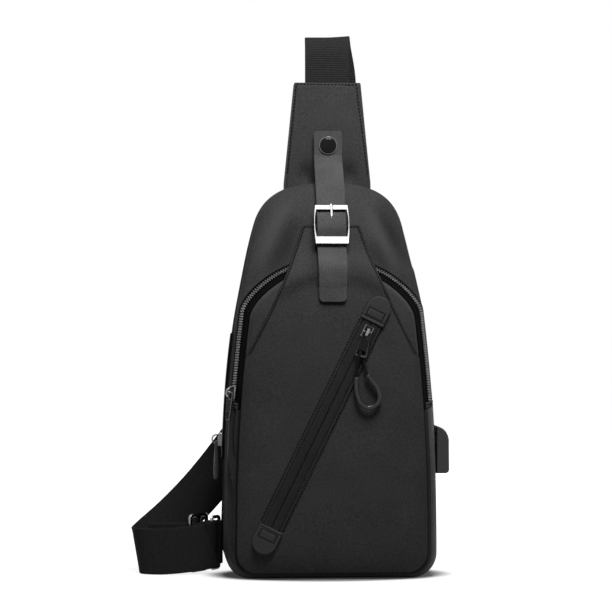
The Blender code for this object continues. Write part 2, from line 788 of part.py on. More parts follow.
pocket_top = np.asarray((POCKET_TOP[0], panel_depth(*POCKET_TOP), POCKET_TOP[1]))
pocket_foot = np.asarray((POCKET_BOTTOM[0], panel_depth(*POCKET_BOTTOM), POCKET_BOTTOM[1]))
pocket_length = float(np.linalg.norm(pocket_top - pocket_foot))
pocket_up = (pocket_top - pocket_foot) / pocket_length
pocket_out = frame_at((0, 0, 0), -Y, pocket_up).to_3x3() @ Vector((0, 0, 1))
pocket_line = [pocket_foot + pocket_up * pocket_length * k / 20 for k in range(21)]
pocket_lift = max(p[1] - panel_depth(p[0], p[2]) for p in pocket_line) + GAP
pocket_frame = frame_at(pocket_top - (0, pocket_lift, 0), pocket_out, pocket_up)


def pocket_strip(name, low_x, high_x, thickness, material):
    """A straight strip of the pocket zip, tucked under both end tabs."""
    low = (low_x, -pocket_length - WELT_TUCK, 0)
    return block(name, low, (high_x, WELT_TUCK, thickness), material, pocket_frame)


pocket_strip("pocket_welt_left", -WELT_OUTER, -WELT_INNER, WELT, coated_fabric("left welt cloth", 0.035))
pocket_strip("pocket_welt_right", WELT_INNER, WELT_OUTER, WELT, coated_fabric("right welt cloth", 0.035))
pocket_strip("pocket_zip_chain", -COIL_WIDTH / 2, COIL_WIDTH / 2, WELT, webbing_look("pocket coil"))

tab_half = TAB_WIDTH / 2
tab_loop = [(-tab_half, 0), (tab_half, 0)] + arc((0, TAB_STRAIGHT), tab_half, 0, 180, 10)
tab_place = Matrix.Translation((0, 0, WELT + GAP + TAB / 2))
turn = Matrix.Translation((0, -pocket_length, 0)) @ Matrix.Rotation(math.pi, 4, "Z")
plate("pocket_tab_top", [tab_loop], TAB, coated_fabric("top tab cloth"), pocket_frame @ tab_place)
turned_place = pocket_frame @ turn @ tab_place
plate("pocket_tab_bottom", [tab_loop], TAB, coated_fabric("bottom tab cloth"), turned_place)

slider_seat = Matrix.Translation((0, -POCKET_SLIDER_DROP, WELT))
pocket_axis = zip_slider(
    "pocket_zip_slider", pocket_frame @ slider_seat, (CHAIN_WIDTH / 2 + RUN, 2 * RUN), RUN / 2
)
pocket_pull_frame = pocket_axis @ Matrix.Rotation(POCKET_PULL_TWIST, 4, "Z")
CORD_BAR = 0.0016
CORD_SLOT = (0.0031, 0.0034)
zip_pull(
    "pocket_zip_pull", pocket_pull_frame, POCKET_PULL_LENGTH, 0.0047, CORD_BAR, CORD_SLOT, PULL_PLATE,
    black_nickel("pocket pull metal"),
)

cord_bar = pocket_pull_frame @ Vector((0, CORD_BAR / 2 - POCKET_PULL_LENGTH, 0))
cord_frame = frame_at(cord_bar, pocket_frame.to_3x3() @ Vector((0, 0, 1)), Z)
SLEEVE_ROUTE = [
    (-0.0032, -0.0173), (-0.0035, -0.0240), (-0.0025, -0.0320), (0.0005, -0.0385), (0.0065, -0.0420),
    (0.0128, -0.0393), (0.0154, -0.0330), (0.0136, -0.0265), (0.0095, -0.0205), (0.0054, -0.0152),
]
turn_radius = CORD_BAR / 2 + CORD_RADIUS + RUN
cord_turn = [
    (0.0015 * s, turn_radius * math.cos(a), -turn_radius * math.sin(a))
    for s, a in ((k / 2, math.radians(110 * k / 2)) for k in (-2, -1, 0, 1, 2))
]
cord_route = [(-0.0032, -0.0173 + 2 * GAP, 0), (-0.0029, -0.0100, 0.0012)] + cord_turn
cord_route += [(0.0036, -0.0085, -0.0012), (0.0054 - GAP, -0.0152 + 2 * GAP, 0)]
tube("pull_cord", smooth_path(cord_route, 3), CORD_RADIUS, webbing_look("pull cord"), cord_frame, sides=1)
sleeve_look = look("sleeve rubber", (0.02, 0.02, 0.021), 0.35)
sleeve_path = smooth_path([(x, y, 0) for x, y in SLEEVE_ROUTE], 3)
tube("pull_sleeve", sleeve_path, SLEEVE_RADIUS, sleeve_look, cord_frame)


# Neck

def neck_loop(top, margin=0.0):
    """The neck's outline, which stands on the crown of the body and tapers to a top."""
    spread = NECK_HALF_BOTTOM - NECK_HALF_TOP
    half_top = NECK_HALF_TOP + spread * (NECK_TOP - top) / (NECK_TOP - BODY_CROWN) - margin
    half_foot = NECK_HALF_BOTTOM - margin
    right = [x for x in BODY[-TOP_STEPS:, 0][::-1] if x < half_foot - GAP] + [half_foot]
    foot = [(x, crown_height(BODY, x) + GAP) for x in [-x for x in reversed(right)] + right[1:]]
    head = arc((half_top - NECK_CORNER, top - NECK_CORNER), NECK_CORNER, 0, 90, 2)
    return foot + head + [(-x, z) for x, z in reversed(head)]


core_front = NECK_FRONT + NECK_FACE + SNAP_WASHER + 2 * GAP
neck_rear = core_front + NECK_CORE + GAP
for side, depth in (("front", NECK_FRONT), ("back", neck_rear)):
    face_frame = upright(depth + NECK_FACE / 2)
    material = coated_fabric(f"neck {side} cloth")
    plate("neck_" + side, [neck_loop(NECK_TOP)], NECK_FACE, material, face_frame, 0.0004)
core_loop = neck_loop(NECK_CORE_TOP, NECK_FACE)
core_frame = upright(core_front + NECK_CORE / 2)
plate("neck_core", [core_loop], NECK_CORE, look("foam", (0.1, 0.1, 0.1), 0.9), core_frame)


# Closure strap, buckle and press stud

def centre_depth(z):
    """Front of the bag under the closure strap."""
    middle = panel_points[:, panel_points.shape[1] // 2]
    return np.interp(z, middle[:, 2], middle[:, 1]) if z < FLAP_TOP else body_depth(0, z)


def over_front(z, lift):
    """A point over the front of the bag under the closure strap, a lift out of its surface."""
    slope = (centre_depth(z + 0.004) - centre_depth(z - 0.004)) / 0.008
    out = np.asarray((0, -1, slope)) / math.hypot(1, slope)
    return np.asarray((0, centre_depth(z), z)) + lift * out


BUCKLE_UP = Vector((0, math.sin(BUCKLE_TILT), math.cos(BUCKLE_TILT)))
BUCKLE_OUT = Vector((0, -math.cos(BUCKLE_TILT), math.sin(BUCKLE_TILT)))
under_buckle = np.linspace(-BUCKLE_HALF_LENGTH, BUCKLE_HALF_LENGTH, 15)
buckle_depth = min(centre_depth(BUCKLE_HEIGHT + v * BUCKLE_UP.z) - v * BUCKLE_UP.y for v in under_buckle)
buckle_frame = frame_at((0, buckle_depth, BUCKLE_HEIGHT), BUCKLE_OUT, BUCKLE_UP)

loop_radius = BUCKLE_BAR_RADIUS + GAP + BUCKLE_TAB / 2
prong_eye = BUCKLE_BAR_RADIUS + GAP + PRONG_RADIUS
bar_lift = prong_eye + PRONG_RADIUS + 2 * GAP
plate_back = bar_lift + loop_radius + BUCKLE_TAB / 2
plate_front = plate_back + BUCKLE_PLATE
under_bars = plate_back - 2 * GAP - LEATHER / 2
over_bar = bar_lift + prong_eye + PRONG_RADIUS + GAP + LEATHER / 2


def buckle_point(v, lift):
    """A point over the bag in the buckle's frame: v up along the strap, lift out of it."""
    return np.asarray(buckle_frame @ Vector((0, v, lift)))


def bowed_box(half, bow, low, high):
    """An upright box about x = 0 whose sides bow out."""
    heights = np.linspace(low, high, 7)
    middle, reach = (low + high) / 2, (high - low) / 2
    right = [(half + bow * (1 - ((z - middle) / reach) ** 2), z) for z in heights]
    return right + [(-x, z) for x, z in reversed(right)]


outer_loop = bowed_box(BUCKLE_HALF_WIDTH - BUCKLE_BOW, BUCKLE_BOW, -BUCKLE_HALF_LENGTH, BUCKLE_HALF_LENGTH)
window_half = BUCKLE_HALF_WIDTH - BUCKLE_BOW - BUCKLE_SIDE_BAR + 0.0008
window_low, window_high = BUCKLE_BOTTOM_BAR - BUCKLE_HALF_LENGTH, BUCKLE_HALF_LENGTH - BUCKLE_TOP_BAR
window = bowed_box(window_half, BUCKLE_BOW, window_low, window_high)
frame_middle = buckle_frame @ Matrix.Translation((0, 0, plate_back + BUCKLE_PLATE / 2))
frame_look = silver("buckle metal")
frame_piece = plate("buckle_frame", [outer_loop, window], BUCKLE_PLATE, frame_look, frame_middle, 0.0005)
lug_low = bar_lift - BUCKLE_BAR_RADIUS - GAP
lug_inner = window_half + BUCKLE_BOW + GAP
lug_outer = BUCKLE_HALF_WIDTH - GAP
buckle_metal = frame_piece.data.materials[0]
for low, high in ((-lug_outer, -lug_inner), (lug_inner, lug_outer)):
    low_corner, high_corner = (low, -0.002, lug_low), (high, 0.002, plate_back + 0.0008)
    lug = block("lug", low_corner, high_corner, buckle_metal, buckle_frame)
    combine(frame_piece, lug, "UNION")
bar_half = (lug_inner + lug_outer) / 2
bar_ends = [(-bar_half, 0, bar_lift), (bar_half, 0, bar_lift)]
bar = tube("bar", bar_ends, BUCKLE_BAR_RADIUS, buckle_metal, buckle_frame)
combine(frame_piece, bar, "UNION")
notch_path = [(0, window_high - 0.001, plate_front), (0, BUCKLE_HALF_LENGTH + 0.001, plate_front)]
notch = tube("notch", notch_path, PRONG_RADIUS + GAP, buckle_metal, buckle_frame)
combine(frame_piece, notch, "DIFFERENCE")

prong_route = [
    (prong_eye * math.cos(a), bar_lift + prong_eye * math.sin(a))
    for a in np.radians((-60, -120, -180, -240, -290))
]
prong_rise = plate_front - bar_lift - prong_eye
prong_route += [
    (0.0022, bar_lift + prong_eye + 0.12 * prong_rise), (0.0045, bar_lift + prong_eye + 0.65 * prong_rise),
    (0.0066, plate_front - 0.0002), (0.0090, plate_front), (window_high, plate_front),
    (BUCKLE_HALF_LENGTH + 0.0002, plate_front),
]
prong_path = smooth_path([(0, v, lift) for v, lift in prong_route], 3)
tube("buckle_prong", prong_path, PRONG_RADIUS, silver("prong metal"), buckle_frame, sides=1)

tab_heights = np.linspace(BUCKLE_TAB_FOOT, BUCKLE_HEIGHT - 0.008, 6)
tab_route = [over_front(z, 2 * GAP + BUCKLE_TAB / 2) for z in tab_heights]
wrap = [
    (loop_radius * math.sin(a), bar_lift - loop_radius * math.cos(a))
    for a in np.radians((0, 60, 120, 180, 240, 285))
]
tab_route += [buckle_point(v, lift) for v, lift in wrap]
tab_path = smooth_path(tab_route, 2)
tab_piece = ribbon(
    "buckle_tab", tab_path, [(1, 0, 0)] * len(tab_path), 2 * BUCKLE_TAB_HALF, BUCKLE_TAB,
    look("tab leather", (0.1, 0.1, 0.105), 0.6),
)
eye_half = PRONG_RADIUS + 2 * GAP
eye_slot = block(
    "eye_slot", (-eye_half, -loop_radius - 0.002, bar_lift - prong_eye - 0.002),
    (eye_half, loop_radius + 0.003, bar_lift + prong_eye + 0.003),
    tab_piece.data.materials[0], buckle_frame,
)
combine(tab_piece, eye_slot, "DIFFERENCE")

leather = look("strap leather", (0.12, 0.118, 0.122), 0.6)
over_tab = 4 * GAP + BUCKLE_TAB + LEATHER / 2
tail_foot = [
    over_front(STRAP_TAIL_HEIGHT, 2 * GAP + LEATHER / 2),
    over_front((STRAP_TAIL_HEIGHT + BUCKLE_TAB_FOOT) / 2, 3 * GAP + LEATHER / 2 + BUCKLE_TAB / 2),
    over_front(BUCKLE_TAB_FOOT - 0.002, over_tab),
    over_front(BUCKLE_TAB_FOOT + 0.007, over_tab + GAP),
    over_front(BUCKLE_TAB_FOOT + 0.0145, over_tab + GAP),
]
weave = over_bar - under_bars
tail_weave = [
    (-BUCKLE_HALF_LENGTH - 0.001, under_bars - 0.0004), (window_low - 0.0035, under_bars - 0.0001),
    (window_low - 0.0002, under_bars), (-0.0065, under_bars + 0.50 * weave),
    (-0.0030, under_bars + 0.9 * weave),
    (0, over_bar), (0.0030, under_bars + 0.9 * weave), (0.0073, under_bars + 0.45 * weave),
    (window_high - 0.0002, under_bars), (window_high + 0.0024, under_bars - 0.0001),
    (BUCKLE_HALF_LENGTH + 0.002, under_bars - 0.0004), (STRAP_BREAK, under_bars - 0.0007),
]
tail_path = smooth_path(tail_foot + [buckle_point(v, lift) for v, lift in tail_weave], 3)
tail_width = 2 * np.interp(tail_path[:, 2], (STRAP_TAIL_HEIGHT, 0.262), (STRAP_TAIL_HALF, STRAP_HALF))
tail_width[0] -= 0.006
tail_sides = [(1, 0, 0)] * len(tail_path)
tail_piece = ribbon("closure_strap_tail", tail_path, tail_sides, tail_width, LEATHER, leather)
slot_low, slot_high = PRONG_SLOT
prong_slot = block(
    "prong_slot", (-PRONG_SLOT_HALF, slot_low, 0.001),
    (PRONG_SLOT_HALF, slot_high, plate_front + 0.004), leather, buckle_frame,
)
combine(tail_piece, prong_slot, "DIFFERENCE")

hinge = buckle_point(STRAP_BREAK + GAP, under_bars - 0.0007)
strap_hinge = buckle_point(STRAP_BREAK + GAP / 2, under_bars - 0.0007 + LEATHER / 2)
snap_depth = NECK_FRONT - SNAP_SOCKET - 0.0026
strap_middle = snap_depth - LEATHER / 2
snap_foot = SNAP_HEIGHT - SNAP_CAP_RADIUS
upper_route = [
    tuple(hinge), (0, -0.0095, 0.3175), (0, -0.0005, 0.3275), (0, 0.0080, 0.3365),
    (0, 0.0140, snap_foot - 0.0078),
    (0, strap_middle - 0.0010, snap_foot - 0.0026), (0, strap_middle, snap_foot + 0.0004),
    (0, strap_middle, SNAP_HEIGHT), (0, strap_middle, STRAP_END_HEIGHT - 0.002),
    (0, strap_middle, STRAP_END_HEIGHT),
]
upper_path = smooth_path(upper_route, 3)
upper_width = np.full(len(upper_path), 2 * STRAP_HALF)
upper_width[-1] -= 0.005
upper_sides = [(1, 0, 0)] * len(upper_path)
ribbon("closure_strap_upper", upper_path, upper_sides, upper_width, LEATHER, leather.copy())

snap_black = look("cap enamel", (0.012, 0.012, 0.012), 0.15, 0.4)
cap_profile = [(0, SNAP_CAP)]
cap_profile += [
    (SNAP_CAP_RADIUS * math.sin(a), SNAP_CAP * (0.3 + 0.7 * math.cos(a)))
    for a in np.radians((25, 45, 65, 90))
]
cap_profile += [(SNAP_CAP_RADIUS, 0), (0, 0)]
cap_frame = upright(snap_depth - LEATHER - GAP) @ Matrix.Translation((0, SNAP_HEIGHT, 0))
turned("snap_cap", cap_profile, snap_black, cap_frame)


def snap_ring(name, profile, depth, material):
    """A round press stud piece whose back lies at a depth."""
    turned(name, profile, material, upright(depth) @ Matrix.Translation((0, SNAP_HEIGHT, 0)))


socket_bore = SNAP_STUD_RADIUS + SNAP_PLAY
socket_floor = 0.0005
socket_profile = [
    (0, SNAP_SOCKET), (SNAP_SOCKET_RADIUS, SNAP_SOCKET), (SNAP_SOCKET_RADIUS, 0), (socket_bore, 0),
    (socket_bore, SNAP_SOCKET - socket_floor), (0, SNAP_SOCKET - socket_floor),
]
socket_back = snap_depth + GAP + SNAP_SOCKET
snap_ring("snap_socket", socket_profile, socket_back, silver("socket metal"))
stud_base = NECK_FRONT - GAP
flange = stud_base - socket_back - GAP
stud_tall = flange + SNAP_SOCKET - socket_floor
stud_profile = [
    (0, stud_tall), (0.6 * SNAP_STUD_RADIUS, stud_tall), (0.9 * SNAP_STUD_RADIUS, stud_tall - 0.0004),
    (SNAP_STUD_RADIUS, stud_tall - 0.0010),
    (SNAP_STUD_RADIUS, flange), (SNAP_FLANGE_RADIUS, flange), (SNAP_FLANGE_RADIUS, 0), (0, 0),
]
snap_ring("snap_stud", stud_profile, stud_base, silver("stud metal"))
washer_profile = [(0, SNAP_WASHER), (SNAP_FLANGE_RADIUS, SNAP_WASHER), (SNAP_FLANGE_RADIUS, 0), (0, 0)]
snap_ring("snap_washer", washer_profile, NECK_FRONT + NECK_FACE + GAP + SNAP_WASHER, silver("washer metal"))


# Shoulder strap, ring, tab and adjuster

tab_side = half_width(BODY, RING_HEIGHT + TAB_WEBBING_WIDTH / 2)
tab_bend = RING_WIRE + GAP + TAB_WEBBING / 2
inner_layer = -tab_side - GAP - TAB_WEBBING / 2
outer_layer = inner_layer - TAB_WEBBING - GAP
rear_bar = np.asarray((inner_layer - tab_bend, RING_DEPTH))
front_bar = rear_bar - RING_REACH * np.asarray((math.sin(math.radians(30)), math.cos(math.radians(30))))
ring_loop = rounded_box(RING_REACH / 2, -RING_HALF_HEIGHT, RING_HALF_HEIGHT, 0.0025, 3)
ring_middle = (rear_bar + front_bar) / 2
ring_along = Vector((*(rear_bar - front_bar), 0)).normalized()
ring_frame = frame_at((*ring_middle, RING_HEIGHT), ring_along.cross(Z), Z)
ring_points = [(x, y, 0) for x, y in ring_loop]
tube("strap_ring", ring_points, RING_WIRE, black_nickel("ring metal"), ring_frame, cyclic=True)

around = [
    (rear_bar[0] + tab_bend * math.cos(a), rear_bar[1] + tab_bend * math.sin(a))
    for a in np.radians((0, -45, -90, -135, -180))
]
tab_end = BACK_SEAM - 0.002
anchor = [(inner_layer, tab_end), (inner_layer, rear_bar[1] + 0.004)] + around
anchor += [
    (outer_layer - 0.0016, rear_bar[1] + 0.005), (outer_layer, rear_bar[1] + 0.0085),
    (outer_layer, tab_end),
]
anchor_path = smooth_path([(x, y, RING_HEIGHT) for x, y in anchor], 3)
anchor_sides = [(0, 0, 1)] * len(anchor_path)
anchor_look = webbing_look("tab webbing")
ribbon("strap_tab", anchor_path, anchor_sides, TAB_WEBBING_WIDTH, TAB_WEBBING, anchor_look)

neck_middle = NECK_FRONT + NECK_FACE + SNAP_WASHER + 2 * GAP + NECK_CORE / 2
behind = pad_front + BACK_PAD
floor_lift = STRAP_WIDTH / 2 + GAP
fold = np.asarray((front_bar[0] - 0.0027, front_bar[1]))
turn_out = TAIL_DEPTH - fold[1]
front_layer = fold[1] - turn_out
STRAP_ROUTE = [
    ((-0.001, neck_middle, NECK_CORE_TOP + 0.001), (1, 0, 0)),
    ((-0.001, neck_middle - 0.0003, NECK_TOP + 0.010), (1, 0, 0)),
    ((-0.0005, neck_middle + 0.0005, 0.440), (1, 0, 0)),
    ((0.0005, neck_middle + 0.007, 0.4497), (1, 0, 0)),
    ((0.002, neck_middle + 0.014, 0.441), (1, 0, 0)),
    ((0.004, behind + 0.006, 0.412), (1, 0, 0)),
    ((0.005, behind + 0.0105, 0.365), (1, 0, 0)),
    ((0.004, behind + 0.0115, 0.305), (1, 0, 0)),
    ((0.000, behind + 0.0115, 0.250), (0.99, 0, -0.12)),
    ((-0.014, behind + 0.0115, 0.200), (0.92, 0, -0.38)),
    ((-0.042, behind + 0.0115, 0.150), (0.80, 0, -0.60)),
    ((-0.075, behind + 0.0110, 0.104), (0.75, 0, -0.66)),
    ((-0.103, behind + 0.0075, 0.069), (0.70, 0, -0.71)),
    ((-0.128, 0.046, 0.0435), (0.55, 0, -0.83)),
    ((-0.149, 0.035, 0.0265), (0.24, 0, -0.97)),
    ((-0.159, 0.024, 0.0200), (0, 0, -1)),
    ((-0.1605, 0.013, floor_lift), (0, 0, -1)),
    ((-0.153, front_layer + 0.003, floor_lift), (0, 0, -1)),
    ((-0.136, front_layer, floor_lift), (0, 0, -1)),
    ((-0.114, front_layer, floor_lift + 0.002), (0, 0, -1)),
    ((fold[0], front_layer, RING_HEIGHT - 0.0015), (0, 0, -1)),
    ((fold[0] + 0.72 * turn_out, fold[1] - 0.70 * turn_out, RING_HEIGHT), (0, 0, -1)),
    ((fold[0] + turn_out, fold[1], RING_HEIGHT), (0, 0, -1)),
    ((fold[0] + 0.72 * turn_out, fold[1] + 0.70 * turn_out, RING_HEIGHT), (0, 0, -1)),
    ((fold[0], TAIL_DEPTH, RING_HEIGHT - 0.001), (0, 0, -1)),
    ((fold[0] - 0.006, TAIL_DEPTH, TAIL_HEIGHT), (0, 0, -1)),
    ((-0.128, TAIL_DEPTH, TAIL_HEIGHT), (0, 0, -1)),
    ((-0.150, TAIL_DEPTH, TAIL_HEIGHT), (0, 0, -1)),
]
strap_path = smooth_path([place for place, _ in STRAP_ROUTE], 4)
strap_sides = smooth_path([side for _, side in STRAP_ROUTE], 4)
strap_along = np.gradient(strap_path, axis=0)
strap_along /= np.linalg.norm(strap_along, axis=1)[:, None]
strap_sides -= strap_along * (strap_sides * strap_along).sum(axis=1)[:, None]
strap_sides /= np.linalg.norm(strap_sides, axis=1)[:, None]
ribbon("shoulder_strap", strap_path, strap_sides, STRAP_WIDTH, WEBBING, webbing_look("strap webbing"))

slot_low = ADJUSTER_BAR / 2
slot_high = ADJUSTER_HALF_LENGTH - ADJUSTER_BAR
slot_reach = ADJUSTER_HALF_HEIGHT - ADJUSTER_BAR
adjuster_loop = rounded_box(ADJUSTER_HALF_LENGTH, -ADJUSTER_HALF_HEIGHT, ADJUSTER_HALF_HEIGHT, 0.004)
slots = []
for sign in (-1, 1):
    middle = sign * (slot_low + slot_high) / 2
    slot = rounded_box((slot_high - slot_low) / 2, -slot_reach, slot_reach, 0.0015, 2)
    slots.append([(x + middle, y) for x, y in slot])
adjuster_along = Vector((math.cos(ADJUSTER_TILT), math.sin(ADJUSTER_TILT), 0))
through_slot = Vector((ADJUSTER_PLACE, TAIL_DEPTH, ADJUSTER_HALF_HEIGHT + GAP))
adjuster_middle = through_slot + adjuster_along * (slot_low + slot_high) / 2
adjuster_frame = frame_at(adjuster_middle, adjuster_along.cross(Z), Z)
adjuster_look = black_nickel("adjuster metal")
plate("strap_adjuster", [adjuster_loop, *slots], ADJUSTER_PLATE, adjuster_look, adjuster_frame, 0.0008)


# USB port on the right gusset

usb_side = half_width(BODY, USB_LOW) + GAP
usb_far = usb_side + USB_REACH
usb_top = USB_LOW + USB_HEIGHT
usb_loop = [(usb_side, USB_LOW)] + arc((usb_far - 0.003, USB_LOW + 0.003), 0.003, -90, 0, 3)
usb_loop += list(bezier(
    (usb_far, usb_top - 0.016), (usb_far, usb_top - 0.006), (usb_far - 0.003, usb_top - 0.002),
    (usb_side, usb_top), 6,
))
usb_frame = upright(USB_DEPTH)
rubber = look("port rubber", (0.022, 0.022, 0.023), 0.5)
housing = plate("usb_housing", [usb_loop], USB_WIDTH, rubber, usb_frame, 0.0012)
shell_x, shell_y, shell_z = USB_SHELL
socket_x = usb_side + USB_REACH / 2
mouth = USB_LOW + USB_MOUTH_INSET
recess = block(
    "recess", (socket_x - shell_x / 2 - GAP, USB_DEPTH - shell_y / 2 - GAP, USB_LOW - 0.005),
    (socket_x + shell_x / 2 + GAP, USB_DEPTH + shell_y / 2 + GAP, mouth + shell_z + GAP), rubber,
)
combine(housing, recess, "DIFFERENCE")
corners = np.asarray([(1, -1), (1, 1), (-1, 1), (-1, -1)]) * (shell_x / 2, shell_y / 2)
corners = corners + (socket_x, USB_DEPTH)
shell_rows = np.asarray([[(x, y, z) for x, y in corners] for z in (mouth, mouth + shell_z)])
shell_look = look("socket shell metal", (0.6, 0.6, 0.62), 0.3, 1.0)
sheet("usb_socket_shell", shell_rows, USB_SHELL_WALL, shell_look, closed=True)
inner_x = shell_x / 2 - USB_SHELL_WALL - GAP
inner_y = shell_y / 2 - USB_SHELL_WALL - GAP
tongue_top = mouth + shell_z - GAP
tongue_loop = [
    (-inner_x, tongue_top), (-inner_x, tongue_top - 0.004), (-0.0005, tongue_top - 0.004),
    (-0.0005, mouth + 0.0015), (inner_x - 0.0004, mouth + 0.0015),
    (inner_x - 0.0004, tongue_top - 0.004), (inner_x, tongue_top - 0.004), (inner_x, tongue_top),
]
tongue_loop = [(x + socket_x, z) for x, z in reversed(tongue_loop)]
plate("usb_tongue", [tongue_loop], 2 * inner_y, look("tongue plastic", (0.6, 0.6, 0.62), 0.4), usb_frame)
plate_x, plate_y, plate_z = USB_PLATE
plate_far = half_width(BODY, usb_top) - SHELL - GAP
plate_low = USB_LOW + (USB_HEIGHT - plate_z) / 2
block(
    "usb_back_plate", (plate_far - plate_x, USB_DEPTH - plate_y / 2, plate_low),
    (plate_far, USB_DEPTH + plate_y / 2, plate_low + plate_z),
    look("plate plastic", (0.03, 0.03, 0.03), 0.5),
)
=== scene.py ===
"""Sling bag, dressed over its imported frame: coated cloth, webbing, leather and plated metal.

Metres, +Z up. -Y is the bag's front and +X its right side as seen from the front.
"""
import json
import math

import bpy
import numpy as np
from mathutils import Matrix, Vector


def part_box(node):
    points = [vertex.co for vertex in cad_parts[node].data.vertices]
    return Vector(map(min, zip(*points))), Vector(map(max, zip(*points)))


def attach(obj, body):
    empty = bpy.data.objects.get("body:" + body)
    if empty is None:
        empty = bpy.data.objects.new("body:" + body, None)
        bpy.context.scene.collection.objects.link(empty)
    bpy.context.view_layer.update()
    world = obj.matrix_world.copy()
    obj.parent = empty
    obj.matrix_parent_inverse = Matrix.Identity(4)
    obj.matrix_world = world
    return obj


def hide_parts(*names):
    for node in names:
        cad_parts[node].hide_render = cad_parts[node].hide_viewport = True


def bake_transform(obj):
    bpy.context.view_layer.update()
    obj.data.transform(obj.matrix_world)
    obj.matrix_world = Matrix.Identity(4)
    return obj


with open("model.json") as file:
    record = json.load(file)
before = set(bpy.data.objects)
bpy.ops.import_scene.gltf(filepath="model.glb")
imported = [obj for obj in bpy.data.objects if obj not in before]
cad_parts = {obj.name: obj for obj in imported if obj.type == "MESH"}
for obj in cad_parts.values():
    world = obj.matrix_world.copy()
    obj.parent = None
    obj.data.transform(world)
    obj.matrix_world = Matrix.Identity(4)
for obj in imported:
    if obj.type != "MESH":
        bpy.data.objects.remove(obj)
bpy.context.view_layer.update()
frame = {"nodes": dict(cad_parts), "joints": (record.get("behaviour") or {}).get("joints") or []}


# Camera, floor and light. The eye is level with the middle of the bag and a little to its left.
# One softbox hangs above the front, fills stand round the bag, and all round is white.
# The floor is plain and pale, and keeps the soft shadow under the bag; round the bag's foot its glow is
# lowered as a painted contact shadow.

def plug(node, sockets):
    """Gives inputs of a node, by name or number, a value or another node's output."""
    for key, value in sockets.items():
        if isinstance(value, bpy.types.NodeSocket):
            node.id_data.links.new(value, node.inputs[key])
        else:
            node.inputs[key].default_value = value


def add(tree, kind, sockets=None, out=0, **settings):
    """Output of a new shader node with its settings and inputs."""
    made = tree.nodes.new("ShaderNode" + kind)
    for key, value in settings.items():
        setattr(made, key, value)
    plug(made, sockets or {})
    return made.outputs[out]


def maths(tree, operation, *values, **settings):
    """Output of a Math node."""
    return add(tree, "Math", dict(enumerate(values)), operation=operation, **settings)


def remap(tree, value, low, high, to_low=0.0, to_high=1.0, kind="LINEAR"):
    """Output of a value whose range from low to high becomes another range, and ends there."""
    ends = {"Value": value, "From Min": low, "From Max": high, "To Min": to_low, "To Max": to_high}
    return add(tree, "MapRange", ends, interpolation_type=kind)


def seen_directly(tree):
    """1 for rays of the camera, of reflections and of clear materials, and 0 for light that scatters."""
    path = tree.nodes.new("ShaderNodeLightPath").outputs
    first = maths(tree, "ADD", path["Is Camera Ray"], path["Is Glossy Ray"])
    return maths(tree, "ADD", first, path["Is Transmission Ray"], use_clamp=True)


def aimed(name, data, place, aim):
    """A camera or lamp at a place, turned to an aim."""
    made = bpy.data.objects.new(name, data)
    made.location = place
    made.rotation_euler = (Vector(aim) - Vector(place)).to_track_quat("-Z", "Y").to_euler()
    scene.collection.objects.link(made)
    return made


scene = bpy.context.scene
scene.view_settings.view_transform = "Standard"

VIEW_TARGET, VIEW_DISTANCE = Vector((-0.0195, 0.0, 0.2227)), 1.7
VIEW_TURN, VIEW_ANGLE = math.radians(3.2), math.radians(17.0)
camera = bpy.data.cameras.new("camera")
camera.sensor_width = 36.0
camera.lens = camera.sensor_width / 2 / math.tan(VIEW_ANGLE / 2)
eye = VIEW_TARGET - VIEW_DISTANCE * Vector((math.sin(VIEW_TURN), math.cos(VIEW_TURN), 0))
scene.camera = aimed("camera", camera, eye, VIEW_TARGET)

scene.world = bpy.data.worlds.new("white studio")
scene.world.use_nodes = True
tree = scene.world.node_tree
tree.nodes.clear()
glow = remap(tree, seen_directly(tree), 0, 1, 0.03, 1.0)
back = add(tree, "Background", {"Color": (1, 1, 1, 1), "Strength": glow})
plug(tree.nodes.new("ShaderNodeOutputWorld"), {"Surface": back})

for name, place, aim_height, size, power, spread in (
    ("key softbox", (0.06, -0.44, 0.86), 0.34, 0.35, 2.05, 100),
    ("front fill", (-0.10, -1.30, 0.62), 0.24, 0.70, 0.20, 180),
    ("back fill", (0.0, 1.30, 0.90), 0.25, 0.90, 10.0, 180),
    ("left fill", (-1.0, 0.90, 0.55), 0.20, 0.70, 3.0, 180),
    ("right fill", (1.0, 0.90, 0.55), 0.20, 0.70, 5.0, 180),
):
    lamp = bpy.data.lights.new(name, "AREA")
    lamp.size, lamp.energy, lamp.spread = size, power, math.radians(spread)
    aimed(name, lamp, place, (0.0, 0.0, aim_height))

FLOOR_HALF, FOOT_HALF_WIDTH, FOOT_HALF_DEPTH = 4, 0.086, 0.040
floor_mesh = bpy.data.meshes.new("floor")
floor_corners = [(x * FLOOR_HALF, y * FLOOR_HALF, 0) for x, y in ((-1, -1), (1, -1), (1, 1), (-1, 1))]
floor_mesh.from_pydata(floor_corners, [], [(0, 1, 2, 3)])
floor = bpy.data.objects.new("floor", floor_mesh)
scene.collection.objects.link(floor)
pale = bpy.data.materials.new("pale floor")
pale.use_nodes = True
tree = pale.node_tree
tree.nodes.clear()
place = add(tree, "TexCoord", out="Object")
from_middle = add(tree, "VectorMath", {0: place}, out="Value", operation="LENGTH")
near_glow = remap(tree, from_middle, 0.20, 0.60, 0.80, 1.0, kind="SMOOTHSTEP")
# Painted contact shadow: over the bag's footprint the glow for direct rays drops to 0.05, and it rises back
# to full a little way out.
foot_scale = (1 / FOOT_HALF_WIDTH, 1 / FOOT_HALF_DEPTH, 1)
foot = add(tree, "VectorMath", {0: place, 1: foot_scale}, operation="MULTIPLY")
from_foot = add(tree, "VectorMath", {0: foot}, out="Value", operation="LENGTH")
under = remap(tree, from_foot, 1.0, 1.28, 0.05, 1.0, kind="SMOOTHSTEP")
lift = maths(tree, "MULTIPLY", seen_directly(tree), maths(tree, "MULTIPLY", near_glow, under))
bright = add(tree, "Emission", {"Color": (1, 1, 1, 1), "Strength": lift})
